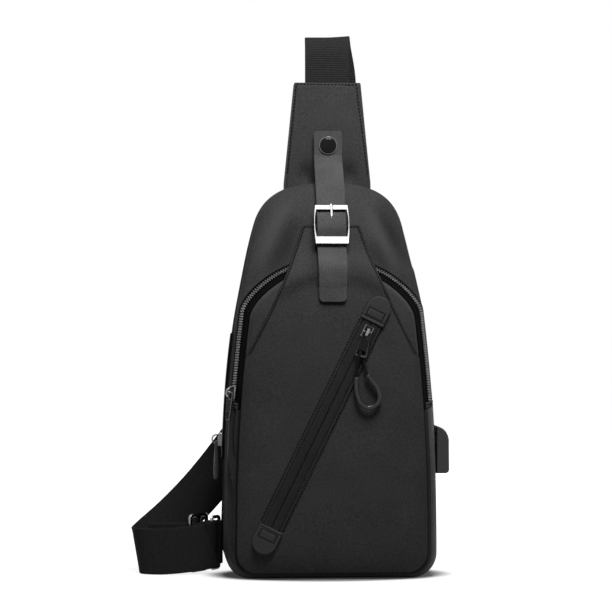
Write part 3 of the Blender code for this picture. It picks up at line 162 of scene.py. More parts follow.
matte = add(tree, "BsdfDiffuse", {"Color": (0.4, 0.4, 0.4, 1)})
both = add(tree, "AddShader", {0: bright, 1: matte})
plug(tree.nodes.new("ShaderNodeOutputMaterial"), {"Surface": both})
floor_mesh.materials.append(pale)


# Body cloth: one band of coated cloth that makes the sides, the base and the round upper body.
# It is sewn to the back with a piped seam, and its front edge is turned under beside the main zip.
# Long soft dents run down from its shoulders, where the cloth sinks between the flap and the sides; painted
# shade darkens the dents and painted highlight lightens the ridges beside them.

def bezier(start, first, second, end, steps):
    """Points of a cubic curve after its start, by its four Bernstein weights."""
    t = np.linspace(0, 1, steps + 1)[1:, None]
    weights = ((1 - t) ** 3, 3 * t * (1 - t) ** 2, 3 * t**2 * (1 - t), t**3)
    return sum(w * np.asarray(p, float) for w, p in zip(weights, (start, first, second, end)))


BASE_STEPS, CORNER_STEPS, SIDE_STEPS, TOP_STEPS = 12, 16, 56, 50


def half_outline(half, corner, floor_height, shoulder, rise, crown, lean):
    """Right half of a bag outline: flat base, round corner, leaning side and shoulder, up to the crown."""
    base = np.linspace((0, floor_height), (half - corner, floor_height), BASE_STEPS + 1)
    foot = (half, floor_height + corner)
    turn = np.radians(np.linspace(-90, 0, CORNER_STEPS + 1))[1:]
    round_corner = grid_of(half - corner + corner * np.cos(turn), foot[1] + corner * np.sin(turn))
    low, high = (share * (shoulder[1] - foot[1]) for share in (0.415, 0.33))
    below = (shoulder[0] + lean * high, shoulder[1] - high)
    side = bezier(foot, (half, foot[1] + low), below, shoulder, SIDE_STEPS)
    above = (shoulder[0] - lean * rise, shoulder[1] + rise)
    top = bezier(shoulder, above, (0.59 * shoulder[0], crown), (0, crown), TOP_STEPS)
    return np.vstack([base, round_corner, side, top])


def ring(half):
    """Both halves of an outline as one closed loop: base, right side, crown, left side."""
    return np.vstack([half, half[-2:0:-1] * (-1, 1)])


def grid_of(*coordinates):
    """Points from their coordinates, which may be arrays of different but fitting shapes."""
    return np.stack(np.broadcast_arrays(*coordinates), axis=-1)


def unit(v):
    """Vectors at length 1."""
    return v / np.maximum(np.linalg.norm(v, axis=-1, keepdims=True), 1e-12)


def bell(offset, width):
    """A bell, exp(-(offset / width)^2)."""
    return np.exp(-((offset / width) ** 2))


def outward(points, closed=False):
    """Unit normals of a grid: its step along the columns crossed with its step along the rows."""
    along = np.roll(points, -1, 1) - np.roll(points, 1, 1) if closed else np.gradient(points, axis=1)
    return unit(np.cross(along, np.gradient(points, axis=0)))


def quad_corners(grid):
    """The four corners of each quad of a grid, in order round it."""
    return np.stack([grid[:-1, :-1], grid[:-1, 1:], grid[1:, 1:], grid[1:, :-1]], axis=2)


def quad_mesh(name, points, quads):
    """A smooth mesh from points and the four corners of each of its faces."""
    mesh = bpy.data.meshes.new(name)
    mesh.from_pydata(points.reshape(-1, 3).tolist(), [], quads.reshape(-1, 4).tolist(), shade_flat=False)
    mesh.validate()
    return mesh


def dress(name, mesh, material, nodes=(), body="bag", wall=0.0):
    """A finished piece: mesh, material and cloth wall, the body it rides on and the nodes it stands for."""
    piece = bpy.data.objects.new(name, mesh)
    mesh.materials.append(material)
    scene.collection.objects.link(piece)
    if wall:
        solid = piece.modifiers.new("cloth wall", "SOLIDIFY")
        solid.thickness, solid.offset = wall, -1.0
    if body:
        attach(piece, body)
    if nodes:
        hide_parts(*nodes)
    return piece


def sheet(name, points, material, *nodes, body="bag", closed=False, wall=0.0, **shares):
    """A piece from a grid of points, rows by columns, with its flat cloth sizes in metres as its UV map.

    shares gives, from 0 to 1, each point's share of rubbing and painted highlight, which makes it paler, and
    of painted shade, which makes it darker.
    """
    index, place = np.arange(points.size // 3).reshape(points.shape[:2]), points
    if closed:
        index, place = (np.concatenate([a, a[:, :1]], axis=1) for a in (index, points))
    along = np.linalg.norm(np.diff(place, axis=1), axis=2).mean(axis=0)
    up = np.linalg.norm(np.diff(place, axis=0), axis=2).mean(axis=1)
    flat = np.stack(np.meshgrid(np.r_[0, np.cumsum(along)], np.r_[0, np.cumsum(up)]), axis=2)
    mesh = quad_mesh(name, points, quad_corners(index))
    mesh.uv_layers.new(name="cloth").data.foreach_set("uv", quad_corners(flat).astype(np.float32).ravel())
    for label, share in shares.items():
        share = np.broadcast_to(share, points.shape[:2]).astype(np.float32)
        mesh.attributes.new(label, "FLOAT", "POINT").data.foreach_set("value", share.ravel())
    return dress(name, mesh, material, nodes, body, wall)


def effect(name, inputs, outputs):
    """An empty node group with a place and some values as inputs: itself, its inputs and its end node."""
    group = bpy.data.node_groups.new(name, "ShaderNodeTree")
    group.interface.new_socket("Vector", in_out="INPUT", socket_type="NodeSocketVector")
    for way, labels in (("INPUT", inputs), ("OUTPUT", outputs)):
        for label in labels:
            group.interface.new_socket(label, in_out=way, socket_type="NodeSocketFloat")
    return group, group.nodes.new("NodeGroupInput").outputs, group.nodes.new("NodeGroupOutput")


def placed(tree, group, sockets):
    """Outputs of a node group set in a material with its own values."""
    made = tree.nodes.new("ShaderNodeGroup")
    made.node_tree = group
    plug(made, sockets)
    return made.outputs


def new_look(name, kind="TexCoord", out="Object", **settings):
    """A new material with its node tree, its coordinates and its Principled surface."""
    made = bpy.data.materials.new(name)
    made.use_nodes = True
    tree = made.node_tree
    return made, tree, add(tree, kind, None, out, **settings), tree.nodes["Principled BSDF"]


def noise(tree, place, scale, detail=2.0, rough=0.5):
    """Output of a noise texture."""
    return add(tree, "TexNoise", {"Vector": place, "Scale": scale, "Detail": detail, "Roughness": rough})


def blend_colours(tree, share, first, second):
    """Output of a colour mix."""
    return add(tree, "Mix", {0: share, 6: first, 7: second}, out=2, data_type="RGBA")


def raised(tree, height, strength, distance):
    """Normals of a fine relief."""
    return add(tree, "Bump", {"Height": height, "Strength": strength, "Distance": distance})


def stored(tree, label):
    """Output of a share that a mesh stores, such as rubbed."""
    return add(tree, "Attribute", out="Fac", attribute_name=label)


def grey(shade, blue=1.03):
    """A near neutral colour with a trace of blue."""
    return (shade, shade, shade * blue, 1.0)


THREADS = 9000.0
coat, (vector, grain_scale, _), coat_end = effect("coated cloth", ["Grain"], ["Tone", "Height", "Rub"])
broad, grain = noise(coat, vector, 30.0, 3.0), noise(coat, vector, grain_scale)
speck = remap(coat, grain, 0.38, 0.62)
thread = add(coat, "VectorMath", {0: vector, 1: (THREADS, THREADS, THREADS)}, operation="MULTIPLY")
split = coat.nodes.new("ShaderNodeSeparateXYZ")
plug(split, {0: thread})
level = maths(coat, "ADD", split.outputs[0], split.outputs[1])
crossing = maths(coat, "MULTIPLY", maths(coat, "SINE", level), maths(coat, "SINE", split.outputs[2]))
tone = maths(coat, "MULTIPLY_ADD", speck, 0.5, maths(coat, "MULTIPLY", broad, 0.5))
plug(coat_end, {
    "Tone": maths(coat, "MULTIPLY_ADD", crossing, 0.16, tone),
    "Height": maths(coat, "MULTIPLY_ADD", crossing, 0.35, grain),
    "Rub": remap(coat, broad, 0.35, 0.7),
})


def coated_cloth(name, shade, rough=0.66, grain=950.0, relief=0.00022, gloss=0.004):
    """Matte coated cloth: fine grain and clouds of tone, paler by a stored share of rubbing and painted
    highlight, darker by a stored share of painted shade.
    """
    made, tree, place, surface = new_look(name)
    tone, height, rub = placed(tree, coat, {"Vector": place, "Grain": grain})
    colour = blend_colours(tree, tone, grey(shade * 0.66), grey(shade * 1.34))
    # Paler by the stored share of rubbing and painted highlight, darker by the stored share of painted shade.
    colour = blend_colours(tree, stored(tree, "rubbed"), colour, grey(shade * 1.9))
    plug(surface, {
        "Base Color": blend_colours(tree, stored(tree, "pressed"), colour, grey(shade * 0.12)),
        "Roughness": remap(tree, rub, 0, 1, rough + 0.08, rough - 0.06),
        "Normal": raised(tree, height, 0.7, relief), "Specular IOR Level": gloss,
    })
    return made


COVER_FLOOR, COVER_CROWN, BODY_CROWN = 0.005, 0.2545, 0.326
BODY = half_outline(0.088, 0.022, 0.0, (0.0612, 0.2915), 0.0243, BODY_CROWN, 0.268)
COVER = half_outline(0.0785, 0.017, COVER_FLOOR, (0.068, 0.2135), 0.012, COVER_CROWN, 0.12)
BAND = half_outline(0.0865, 0.0205, 0.0, (0.0755, 0.2195), 0.012, 0.2635, 0.12)
COVER_EDGE, COVER_BULGE, BAND_BACK = -0.035, 0.007, -0.023
ROLL_FRONT, BACK_SEAM = 0.008, 0.032
PIPING_DEPTH, SEAM_DEPTH = 0.0300, 0.0274
CLOTH, HEM = 0.0012, 0.0011


def upper_shares(t):
    """Shares of the way in and forward along the round upper body: part straight, part a quarter circle."""
    quarter = t * math.pi / 2
    return 0.3 * t + 0.7 * (1 - np.cos(quarter)), 0.3 * t + 0.7 * np.sin(quarter)


def dents(x, z, *rows):
    """Long soft dents in the front view, a bell across each that fades at both ends.

    A row gives a dent's start, end, width and depth.
    """
    total = 0
    for start, end, width, depth in rows:
        run = np.subtract(end, start)
        share = ((x - start[0]) * run[0] + (z - start[1]) * run[1]) / (run @ run)
        off = ((x - start[0]) * run[1] - (z - start[1]) * run[0]) / math.hypot(*run)
        total = total + depth * np.clip(1 - (2 * share - 1) ** 2, 0, 1) * bell(off, width)
    return total


body_ring, band_ring, cover_ring = ring(BODY), ring(BAND), ring(COVER)
side_rows = np.r_[np.linspace(0.0318, 0.0272, 8), np.linspace(0.026, ROLL_FRONT, 10)]
inward, forward = upper_shares(np.linspace(0, 1, 44)[1:])
inward = np.r_[np.zeros(len(side_rows)), inward][:, None, None]
depth = np.r_[side_rows, ROLL_FRONT + forward * (BAND_BACK - ROLL_FRONT)]
flat_points = body_ring + inward * (band_ring - body_ring)
body_points = grid_of(flat_points[..., 0], depth[:, None], flat_points[..., 1])
for _ in range(6):
    body_points = (2 * body_points + np.roll(body_points, 1, 1) + np.roll(body_points, -1, 1)) / 4
    body_points[1:-1] = (2 * body_points[1:-1] + body_points[2:] + body_points[:-2]) / 4
x, y, z = np.moveaxis(body_points, 2, 0)
piping = 0.0011 * bell(y - PIPING_DEPTH, 0.0011) - 0.0016 * bell(y - SEAM_DEPTH, 0.0009)
front_share = np.clip((ROLL_FRONT - y) / 0.02, 0, 1)
sink = dents(
    x, z,
    ((-0.028, 0.298), (-0.050, 0.242), 0.0080, 0.0042), ((0.040, 0.312), (0.068, 0.252), 0.0080, 0.0045),
    ((0.033, 0.276), (0.047, 0.242), 0.0060, 0.0024), ((-0.083, 0.225), (-0.080, 0.150), 0.0060, 0.0010),
)
# Shares of painted highlight along the light ridges beside the dents.
ridge = dents(
    x, z,
    ((-0.032, 0.318), (-0.062, 0.250), 0.0070, 0.40), ((0.028, 0.312), (0.056, 0.246), 0.0070, 0.40),
)
wave = 0.00045 * np.sin(61 * x + 23 * z) * np.sin(47 * z - 29 * y + 1.0)
lying = np.clip((z - 0.004) / 0.02, 0, 1)
shift = piping * lying + wave * lying - sink * front_share
body_points = body_points + outward(body_points, closed=True) * shift[..., None]

# The turned edge: each column's end rolls under by a little more than half a turn.
tangent = unit(body_points[-1] - body_points[-2])
edge_out = outward(body_points, closed=True)[-1]
roll = np.radians(np.linspace(0, 200, 11))[1:, None, None]
hem = body_points[-1] + HEM * np.sin(roll) * tangent - HEM * (1 - np.cos(roll)) * edge_out
hem_rows, fold_row = ((0, len(hem)), (0, 0)), len(body_points) + 2
body_points = np.vstack([body_points, hem])
body_points[..., 2] = np.maximum(body_points[..., 2], 0.0)
turned_rows = bell(np.arange(len(body_points))[:, None] - fold_row, 3.0)
# Painted shade in the dents and painted highlight on the ridges; the turned hem is paler along its fold.
sheet(
    "body_cloth", body_points, coated_cloth("gusset cloth", 0.056), "body_gusset", closed=True, wall=CLOTH,
    rubbed=np.pad(ridge * front_share, hem_rows) + 0.30 * turned_rows,
    pressed=np.pad(100 * sink * front_share, hem_rows),
)


# Back panel and back pad: the panel is stiffened cloth that closes the back, and the pad on it is
# soft mesh, quilted in three columns by two channels, with a sewn-down edge.

def half_width(outline, height):
    """Half width of an outline at a height."""
    side = outline[BASE_STEPS:]
    return np.interp(height, side[:, 1], side[:, 0])


def crown_height(outline, x):
    """Height of the top of an outline over a place across it."""
    top = outline[-TOP_STEPS - 1:][::-1]
    return np.interp(np.abs(x), top[:, 0], top[:, 1])


def inset(half, distance):
    """A half outline moved inwards along its own normals."""
    along = np.gradient(half, axis=0)
    along[0], along[-1] = (1, 0), (-1, 0)
    moved = half - distance * unit(grid_of(along[:, 1], -along[:, 0]))
    moved[[0, -1], 0] = 0
    return moved


HEART_LOW, HEART_HIGH = 0.07, 0.25


def cushion(half, rings, front, rise):
    """A closed pad in the bag's outline: rings from its back edge over its face to its middle line.

    rings gives each ring's inset and its share of the rise; the last ring is drawn in to the middle.
    """
    loops = [np.insert(ring(inset(half, gap)), 1, front + share * rise, axis=1) for gap, share in rings]
    heart = grid_of(0, loops[-1][:, 1], np.clip(loops[-1][:, 2], HEART_LOW, HEART_HIGH))
    shares = np.linspace(0, 1, 26)[1:, None, None]
    return np.vstack([np.asarray(loops), loops[-1] + shares * (heart - loops[-1])])[:, ::-1]


def distance_to(outline, x, z):
    """Distance of front-view points from an outline, to the nearest of its straight steps."""
    run = np.diff(outline, axis=0)
    dx, dz = x[..., None] - outline[:-1, 0], z[..., None] - outline[:-1, 1]
    share = np.clip((dx * run[:, 0] + dz * run[:, 1]) / np.maximum((run**2).sum(axis=1), 1e-18), 0, 1)
    return np.hypot(dx - share * run[:, 0], dz - share * run[:, 1]).min(axis=-1)


panel_rings = [
    (0.0016, 0.0), (0.0012, 0.08), (0.0010, 0.35), (0.0012, 0.70), (0.0022, 0.93), (0.0040, 1.0),
    (0.0080, 1.0),
]
back_points = cushion(BODY, panel_rings, BACK_SEAM + 0.0001, 0.0078)
sheet("back_cloth", back_points, coated_cloth("back cloth", 0.05), "back_panel", closed=True)

PAD_SEAT, PAD_RISE, PAD_CHANNEL, PAD_CHANNEL_PLACE = BACK_SEAM + 0.0083, 0.0042, 0.0022, 0.026
pad_rings = [(0.0150, 0.0), (0.0143, 0.10), (0.0142, 0.30), (0.0152, 0.45), (0.018, 0.40)]
pad_points = cushion(BODY, pad_rings, PAD_SEAT, PAD_RISE)
px, py, pz = np.moveaxis(pad_points, 2, 0)
swell = np.interp(distance_to(BODY, np.abs(px), pz), (0.018, 0.021, 0.026, 0.034), (0.40, 0.55, 0.85, 1.0))
py[len(pad_rings):] = (PAD_SEAT + PAD_RISE * swell)[len(pad_rings):]
channel = PAD_CHANNEL * bell(np.abs(px) - PAD_CHANNEL_PLACE, 0.0032)
py -= channel * np.clip((py - PAD_SEAT - PAD_CHANNEL) / 0.002, 0, 1)
pad_mesh = coated_cloth("pad mesh", 0.024, rough=0.82, grain=520.0, relief=0.0004)
pad = sheet("back_pad_cushion", pad_points, pad_mesh, "back_pad", closed=True)


# Front panel: one piece of the same cloth from the base up to the flap, which lies over the top of
# the main zip. Its edges are turned under, and a row of black topstitch runs close inside the flap.

def smooth_step(value, low, high):
    """0 below low, 1 above high and a smooth rise between them."""
    t = np.clip((value - low) / (high - low), 0, 1)
    return t * t * (3 - 2 * t)


def rounded_edge(off, radius):
    """How far a turned edge drops back at a distance from it: a quarter circle."""
    return radius * (1 - np.sqrt(1 - np.clip(1 - off / radius, 0, 1) ** 2))


def cover_depth(x, z):
    """Front of the cover: flat in its middle, rounded off with an eighth power towards its edge."""
    across = np.clip(np.abs(x) / np.maximum(half_width(COVER, z), 1e-6), 0, 1)
    middle, reach = (COVER_CROWN + COVER_FLOOR) / 2, (COVER_CROWN - COVER_FLOOR) / 2
    along = np.clip(np.abs(z - middle) / reach, 0, 1)
    return COVER_EDGE - COVER_BULGE * (1 - across**8) * (1 - along**8)


def body_depth(x, z):
    """Front of the bag without its panel: the cover, then the zip band with its teeth, then the body."""
    cover, band, body = (crown_height(o, x) for o in (COVER, BAND, BODY))
    slope = (BAND_BACK - COVER_EDGE) / (band - cover)
    rise = TEETH_RISE * np.hypot(1, slope)
    front = cover_depth(x, z) - rise * smooth_step(z, cover - 0.014, cover)
    tape = COVER_EDGE + slope * (z - cover) - rise
    share = np.interp((body - z) / (body - band), *upper_shares(np.linspace(0, 1, 90)))
    upper = ROLL_FRONT + share * (BAND_BACK - ROLL_FRONT) - rise * (1 - smooth_step(z, band, band + 0.012))
    return np.where(z <= cover, front, np.where(z <= band, tape, upper))


FLAP_FOOT, FLAP_TOP, FLAP_HALF_TOP, FLAP_CORNER, FLAP_SEAM = 0.180, 0.2893, 0.0235, 0.0020, 0.0017
PANEL_GAP, PANEL_LIFT, FLAP_LIFT, PANEL_EDGE = 0.0003, 0.0021, 0.0007, 0.0014
DRAPE, TEETH_RISE, THREAD_SINK = 0.006, 0.003, 0.0001
flap_start = np.asarray((half_width(COVER, FLAP_FOOT) - PANEL_GAP, FLAP_FOOT))
flap_waist, flap_end = np.asarray((0.0393, 0.237)), np.asarray((FLAP_HALF_TOP, FLAP_TOP))
flap_controls = (end / 3 + flap_waist * 2 / 3 for end in (flap_start, flap_end))
FLAP_EDGE = np.vstack([flap_start, bezier(flap_start, *flap_controls, flap_end, 60)])


def panel_half(z):
    """Half width of the panel: the cover's below the flap's foot, then the flap's with a round corner."""
    flap = np.interp(z, FLAP_EDGE[:, 1], FLAP_EDGE[:, 0]) - rounded_edge(FLAP_TOP - z, FLAP_CORNER)
    return np.where(z <= FLAP_FOOT, half_width(COVER, z) - PANEL_GAP, flap)


corner_end = BASE_STEPS + CORNER_STEPS
panel_heights = np.r_[
    COVER[BASE_STEPS:corner_end, 1], np.linspace(COVER[corner_end, 1], FLAP_FOOT, 40)[:-1],
    np.linspace(FLAP_FOOT, FLAP_TOP - FLAP_CORNER, 60)[:-1],
    FLAP_TOP - FLAP_CORNER * (1 - np.sin(np.radians(np.linspace(0, 90, 7)))),
]
edge_close = np.sin(np.linspace(-1, 1, 97) * math.pi / 2)
panel_outline = np.vstack([
    np.linspace((0, COVER_FLOOR), (panel_half(COVER_FLOOR), COVER_FLOOR), 40),
    grid_of(panel_half(panel_heights), panel_heights),
    np.linspace((panel_half(FLAP_TOP), FLAP_TOP), (0, FLAP_TOP), 16),
])
flap_edges = panel_outline[panel_outline[:, 1] > FLAP_FOOT + 0.002]


def panel_front(x, z):
    """Front of the panel: it turns under at its edge, and drapes over the zip as a stiff cloth.

    The drape is a mean, over DRAPE up and down, of what lies under it.
    """
    draped = sum(body_depth(x, z + d) for d in np.linspace(-DRAPE, DRAPE, 7)) / 7
    share = smooth_step(z, 0.190, 0.215)
    rest = (1 - share) * body_depth(x, z) + share * draped - PANEL_LIFT
    rest -= FLAP_LIFT * smooth_step(z, 0.262, 0.280)
    off = distance_to(panel_outline, np.abs(x), z)
    groove = 0.00045 * bell(distance_to(flap_edges, np.abs(x), z) - FLAP_SEAM, 0.0008)
    slack = 0.00035 * np.sin(47 * x + 31 * z) * np.sin(38 * z - 21 * x + 0.6) * smooth_step(off, 0.004, 0.02)
    return rest + rounded_edge(off, PANEL_EDGE) + groove + slack


pz = panel_heights[:, None]
px = edge_close * panel_half(pz)
edge_off, flap_off = (distance_to(edge, np.abs(px), pz) for edge in (panel_outline, flap_edges))
# Painted shade along the flap's seam groove, in soft valleys beside the strap's tail and across the flap, and
# along the panel's turned edge; a faint paler share runs just inside that edge.
flap_line = 0.50 * smooth_step(pz, FLAP_FOOT, FLAP_FOOT + 0.006) * bell(flap_off - FLAP_SEAM, 0.0009)
painted_valley_shade = dents(
    px, pz,
    ((0.008, 0.258), (0.050, 0.232), 0.0075, 0.34), ((-0.0145, 0.280), (-0.0135, 0.236), 0.0045, 0.36),
    ((-0.014, 0.250), (-0.056, 0.226), 0.0070, 0.22),
)
sheet(
    "front_cloth", grid_of(px, panel_front(px, pz), pz), coated_cloth("panel cloth", 0.056), "front_panel",
    wall=0.0008, rubbed=0.10 * bell(edge_off - 0.0011, 0.0006),
    pressed=np.maximum(np.maximum(flap_line, painted_valley_shade), 0.9 * bell(edge_off, 0.0006)),
)


def run_of(path):
    """How far along a path each of its points lies."""
    return np.r_[0, np.cumsum(np.linalg.norm(np.diff(path, axis=0), axis=1))]


def taken(at, run, values):
    """Points or directions that go with a path, taken at other places along it."""
    return np.stack([np.interp(at, run, values[:, k]) for k in range(3)], axis=1)


def repeated(name, places, axes, shape, faces):
    """One small shape set many times: shape is in each place's own axes, three arrays of directions."""
    points = places[:, None] + sum(shape[None, :, k:k + 1] * axes[k][:, None] for k in range(3))
    quads = faces[None] + len(shape) * np.arange(len(places))[:, None, None]
    return quad_mesh(name, points, quads)


def barrel(rings, sides):
    """A small closed barrel along its first axis: each ring gives its place, its two radii and its drop."""
    turn = np.linspace(0, 2 * math.pi, sides, endpoint=False)
    points = [[(a, r * math.cos(t), q * math.sin(t) - d) for t in turn] for a, r, q, d in rings]
    index = np.arange(len(rings) * sides).reshape(len(rings), sides)
    return np.reshape(points, (-1, 3)), quad_corners(np.hstack([index, index[:, :1]])).reshape(-1, 4)


def speckled(name, low, high, scale, detail, strength, relief, rough, gloss=0.5):
    """A plain material with one fine noise in its colour and its relief."""
    made, tree, place, surface = new_look(name)
    speck = noise(tree, place, scale, detail)
    plug(surface, {
        "Base Color": blend_colours(tree, speck, grey(low), grey(high)),
        "Normal": raised(tree, speck, strength, relief), "Roughness": rough, "Specular IOR Level": gloss,
    })
    return made


black_thread = speckled("black thread", 0.003, 0.0096, 2400.0, 2.0, 0.6, 0.0001, rough=0.7, gloss=0.1)
FRONT, RIGHT, UP = (0.0, -1.0, 0.0), (1.0, 0.0, 0.0), (0.0, 0.0, 1.0)
STITCH = np.asarray([
    (-1, 0.3, 0.3, 0.9), (-0.7, 1, 1, 0.25), (0, 1.1, 1, 0), (0.7, 1, 1, 0.25), (1, 0.3, 0.3, 0.9),
])


def stitches(name, path, out, pitch=0.0029, length=0.0023, radius=0.00050):
    """A row of stitches: a short thread every pitch, its two ends pulled down into the cloth."""
    run = run_of(path)
    at = np.arange(pitch / 2, run[-1], pitch)
    along = unit(taken(at + 1e-4, run, path) - taken(at - 1e-4, run, path))
    normal = taken(at, run, np.broadcast_to(out, path.shape))
    normal = unit(normal - along * (normal * along).sum(axis=1, keepdims=True))
    axes = (along, np.cross(normal, along), normal)
    shape, faces = barrel(STITCH * (length / 2, radius, radius, radius), 6)
    dress(name, repeated(name, taken(at, run, path), axes, shape, faces), black_thread)


def panel_normal(x, z, step=0.0006):
    """Outward normals of the panel's front, from the slopes of its depth."""
    dx = (panel_front(x + step, z) - panel_front(x - step, z)) / (2 * step)
    dz = (panel_front(x, z + step) - panel_front(x, z - step)) / (2 * step)
    return unit(grid_of(dx, -1.0, dz))


stitch_edge = FLAP_EDGE[FLAP_EDGE[:, 1] > FLAP_FOOT + 0.002]
step_in = np.gradient(stitch_edge, axis=0)
flap_seam = stitch_edge + FLAP_SEAM * unit(grid_of(-step_in[:, 1], step_in[:, 0]))
flap_seam = flap_seam[flap_seam[:, 1] < FLAP_TOP - FLAP_SEAM]
seam_top = FLAP_TOP - FLAP_SEAM
flap_seam = np.vstack([flap_seam, np.linspace((flap_seam[-1, 0], seam_top), (0, seam_top), 12)])
sx, sz = np.vstack([flap_seam, flap_seam[-2::-1] * (-1, 1)]).T
seam_path = grid_of(sx, panel_front(sx, sz) - 0.00012, sz)
stitches("flap_topstitch", seam_path, panel_normal(sx, sz), radius=0.0006)


# Gores and lining: two small cloth shoulders beside the flap, with a rolled edge along the zip, and
# behind them the thin lining of the front pocket and the inner pocket, seen only when the bag is open.
gore_cloth = coated_cloth("gore cloth", 0.058)
gz = np.linspace(FLAP_FOOT - 0.008, 0.2475, 40)[:, None]
inner = panel_half(gz) - 0.004
outer = np.maximum(half_width(COVER, gz) - 0.0008, inner + 0.0008)
gx = inner + (edge_close[::3] * 0.5 + 0.5) * (outer - inner)
off = distance_to(COVER[BASE_STEPS:], gx, gz)
gy = cover_depth(gx, gz) + rounded_edge(off, 0.0022) - 0.0007 * bell(off - 0.0035, 0.0022)
for side, sign in (("right", 1), ("left", -1)):
    points, rolled = grid_of(sign * gx, gy, gz), 0.35 * bell(off - 0.0016, 0.0010)
    sheet(
        side + "_gore_cloth", points[:, ::sign], gore_cloth, side + "_gore", wall=0.0010,
        rubbed=rolled[:, ::sign],
    )

lz = np.r_[COVER[BASE_STEPS + 4:corner_end:2, 1], np.linspace(0.026, 0.2465, 32)][:, None]
lx = edge_close[::4] * (half_width(COVER, lz) - 0.003)
ripple = np.abs(0.0004 * np.sin(90 * lx + 40 * lz) * np.sin(70 * lz))
lining_cloth = coated_cloth("lining cloth", 0.02, rough=0.75)
lining_points = grid_of(lx, cover_depth(lx, lz) + 0.0028 + ripple, lz)
sheet("pocket_lining", lining_points, lining_cloth, "front_lining", wall=0.0008)

POCKET_FOOT, POCKET_RIM, POCKET_HALF = 0.018, 0.150, 0.058
iz = np.linspace(POCKET_FOOT, POCKET_RIM, 34)[:, None]
ix = np.linspace(-POCKET_HALF, POCKET_HALF, 49)
pocket_rise = (iz - POCKET_FOOT) / (POCKET_RIM - POCKET_FOOT)
gather = 0.0009 * pocket_rise**2 * (0.6 + 0.4 * np.cos(2 * math.pi * ix / 0.018))
sheet("inner_pocket_cloth", grid_of(ix, 0.0310 - gather, iz), lining_cloth, "inner_pocket", wall=0.0007)

moulded = speckled("moulded board", 0.018, 0.045, 700.0, 3.0, 0.4, 0.0002, rough=0.55)


def coat_node(name, material, edge=0.0, segments=2):
    """A CAD node that stays: its own material, and its edges welded and eased."""
    piece = frame["nodes"][name]
    piece.data.materials.clear()
    piece.data.materials.append(material)
    piece.modifiers.new("join faces", "WELD").merge_threshold = 0.00001
    if edge:
        ease = piece.modifiers.new("eased edges", "BEVEL")
        ease.width, ease.segments, ease.limit_method = edge, segments, "ANGLE"
        ease.angle_limit = math.radians(32)
        ease.harden_normals = True


coat_node("base_board", moulded, 0.0003)
coat_node("usb_back_plate", moulded, 0.0002)


# Main zip: black woven tape round the top of the cover, two rows of interlocking plated teeth, and
# below its ends the lower gusset strip. A folded cloth tab is sewn over each end.

rib, (vector, rib_rate, warp_rate, _), rib_end = effect("ribbed weave", ["Rib", "Warp"], ["Tone", "Height"])
split = rib.nodes.new("ShaderNodeSeparateXYZ")
plug(split, {0: vector})
rib_wave = maths(rib, "SINE", maths(rib, "MULTIPLY", split.outputs[1], rib_rate))
warp_turn = maths(rib, "MULTIPLY_ADD", rib_wave, 1.6, maths(rib, "MULTIPLY", split.outputs[0], warp_rate))
weave = maths(rib, "MULTIPLY_ADD", maths(rib, "SINE", warp_turn), 0.45, rib_wave)
woven = remap(rib, weave, -1.4, 1.4)
plug(rib_end, {"Tone": maths(rib, "MULTIPLY", woven, noise(rib, vector, 350.0, 4.0)), "Height": woven})


def woven_band(name, shade, pitch, warp, relief, spread=0.8):
    """Woven tape or webbing: ribs across its length and fine warp along it, on its own flat map."""
    made, tree, flat, surface = new_look(name, "UVMap", "UV", uv_map="cloth")
    turns = {"Vector": flat, "Rib": 2 * math.pi / pitch, "Warp": 2 * math.pi / warp}
    tone, height = placed(tree, rib, turns)
    low, high = grey(shade * (1 - spread * 0.6)), grey(shade * (1 + spread * 1.4))
    plug(surface, {
        "Base Color": blend_colours(tree, tone, low, high), "Normal": raised(tree, height, 0.8, relief),
        "Roughness": 0.8, "Specular IOR Level": 0.03,
    })
    return made


cover_loop = np.insert(cover_ring, 1, COVER_EDGE, axis=1)
band_loop = np.insert(band_ring, 1, BAND_BACK - 0.0009, axis=1)
CHAIN_PLACE, ZIP_FOOT, CHAIN_FOOT, END_TAB_TOP = 0.6, 0.1395, 0.1448, 0.1447
zip_line = cover_loop + CHAIN_PLACE * (band_loop - cover_loop)
round_count = len(zip_line)


def right_index(height):
    """Index on the right side of the rings at a height of the zip's own line."""
    rising = slice(BASE_STEPS, len(COVER))
    return float(np.interp(height, zip_line[rising, 2], np.arange(round_count)[rising]))


def on_loop(loop, index):
    """Points of a closed loop at indices that may lie between two of its points."""
    low = np.floor(index).astype(int)
    share = (index - low)[:, None]
    return loop[low % len(loop)] * (1 - share) + loop[(low + 1) % len(loop)] * share


def band_strip(index, shares, puff=0.0):
    """Grid on the zip band: rows from the body side to the cover side, lifted out by a puff."""
    outer, inner = on_loop(band_loop, index), on_loop(cover_loop, index)
    points = outer + shares[:, None, None] * (inner - outer)
    return points + outward(points) * np.broadcast_to(puff, points.shape[:2])[..., None]


zip_start = right_index(ZIP_FOOT)
zip_end = round_count - zip_start
tape_look = woven_band("zip tape", 0.004, 0.0007, 0.0006, 0.0001)
tape_points = band_strip(np.linspace(zip_start, zip_end, 240), np.linspace(-0.03, 1.0, 12))
sheet("main_zip_tape_cloth", tape_points, tape_look, "main_zip_tape", wall=0.0009)

wear_and_highlight, (vector, scuff_scale, _), wear_and_highlight_end = effect("plating, paled edges and painted highlight", ["Scale"], ["Rub", "Smear"])
# Pointed edges are paled through a scuffing noise: partly plating rubbing through, partly a painted highlight
# that outlines the edges.
edge_wear_and_highlight = remap(wear_and_highlight, add(wear_and_highlight, "NewGeometry", out="Pointiness"), 0.515, 0.60)
scuff = noise(wear_and_highlight, vector, scuff_scale, 4.0, 0.6)
plug(wear_and_highlight_end, {"Rub": maths(wear_and_highlight, "MULTIPLY", edge_wear_and_highlight, scuff), "Smear": scuff})


